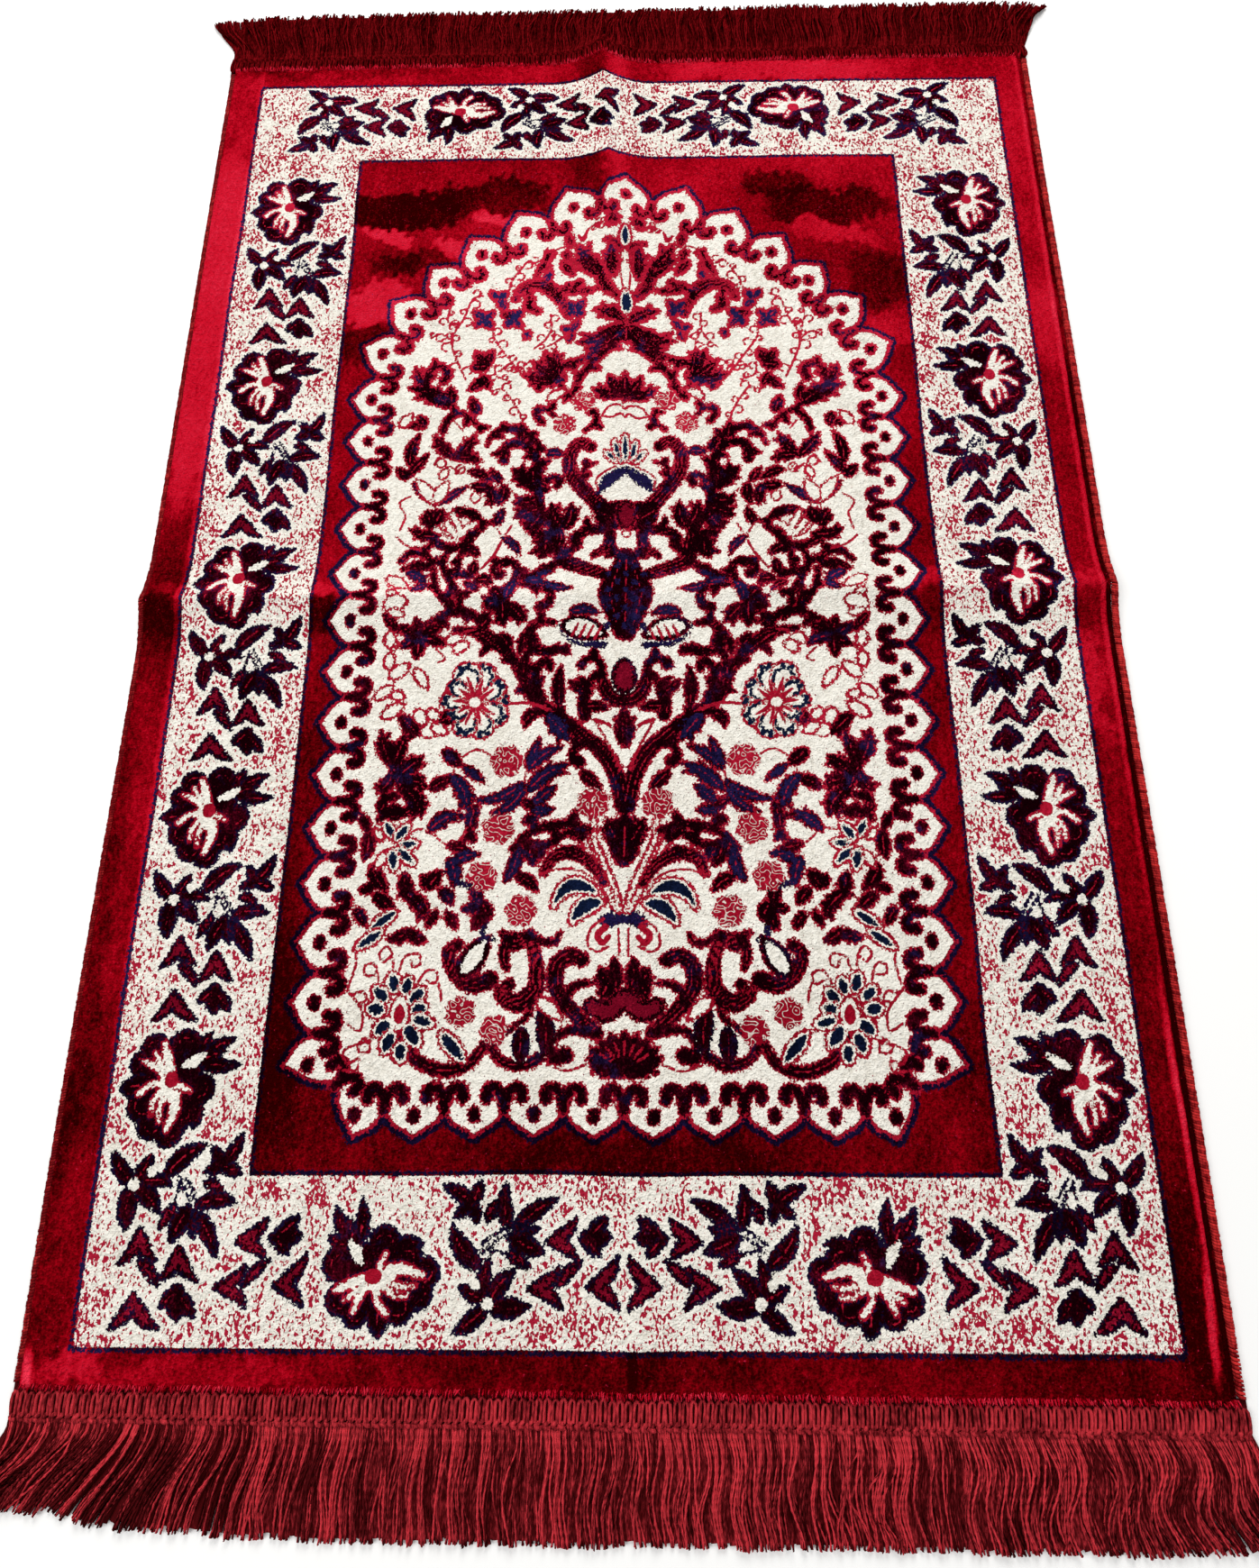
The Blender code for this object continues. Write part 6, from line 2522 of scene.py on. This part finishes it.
def settle(piece: bpy.types.Object, slot: str, *nodes: str) -> None:
    """Rides a piece on the rug's body and reports it.

    Args:
        piece: The finished piece.
        slot: A material slot's name; not used.
        *nodes: The CAD nodes that it stands for.
    """
    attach(piece, "root")
    if nodes:
        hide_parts(*nodes)
    log.info("%s: %d triangles", piece.name, triangles(piece))


def main() -> None:
    """Builds the rug's looks around its solids."""
    logging.basicConfig(level=logging.INFO, format="%(name)s %(message)s")
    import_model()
    Studio().make()
    threads = thread_tree()
    repeats = repeat_tree()

    chart = woven_chart()
    ground, *quarters = PileCloth(VelvetFinish(), BackingFinish()).make(chart)
    settle(ground, "pile", "pile_cloth")
    for quarter in quarters:
        settle(quarter, "pile")

    serging = YarnFinish("serging_yarn", (0.13, 0.001, 0.003), (0.62, 0.030, 0.030))
    # The left binding's wraps are painted darker than the right's: painted shade.
    for side, name, seed, shades in (
        (-1.0, "binding_left", 11, (0.0, 0.35)),
        (1.0, "binding_right", 12, (0.2, 0.8)),
    ):
        binding = SideBinding(side, f"serged_{name}", serging, repeats, seed, shades).make()
        settle(binding, "binding", name)

    near_yarn = YarnFinish("near_fringe_yarn", (0.062, 0.0008, 0.0020), (0.62, 0.036, 0.050))
    # The far trim uses the same yarn as the near one, painted darker: painted shade.
    far_yarn = YarnFinish("far_fringe_yarn", (0.034, 0.0003, 0.0008), (0.20, 0.0040, 0.0065), gloss=0.0)
    trims = []
    velvet = quarters[0].data.materials[0]
    near_form = (NEAR_LEAN, NEAR_WAVE, NEAR_SWAY, 0.0550, 0.0036, 31, *NEAR_SHADES)
    far_form = (FAR_LEAN, FAR_WAVE, FAR_SWAY, 0.0515, 0.0026, 41, *FAR_SHADES)
    for end, name, yarn, form, seed in (
        (-1.0, "near", near_yarn, near_form, 21),
        (1.0, "far", far_yarn, far_form, 22),
    ):
        header, yarns = FringeTrim(end, f"trim_{name}", yarn, threads, repeats, *form).make()
        settle(header, "yarn")
        settle(yarns, "yarn", f"fringe_{name}")
        tufts = EdgeTufts(end, f"pile_edge_{name}", repeats, seed).make(velvet)
        settle(tufts, "pile")
        trims += [header, yarns, tufts]


if __name__ == "__main__":
    main()
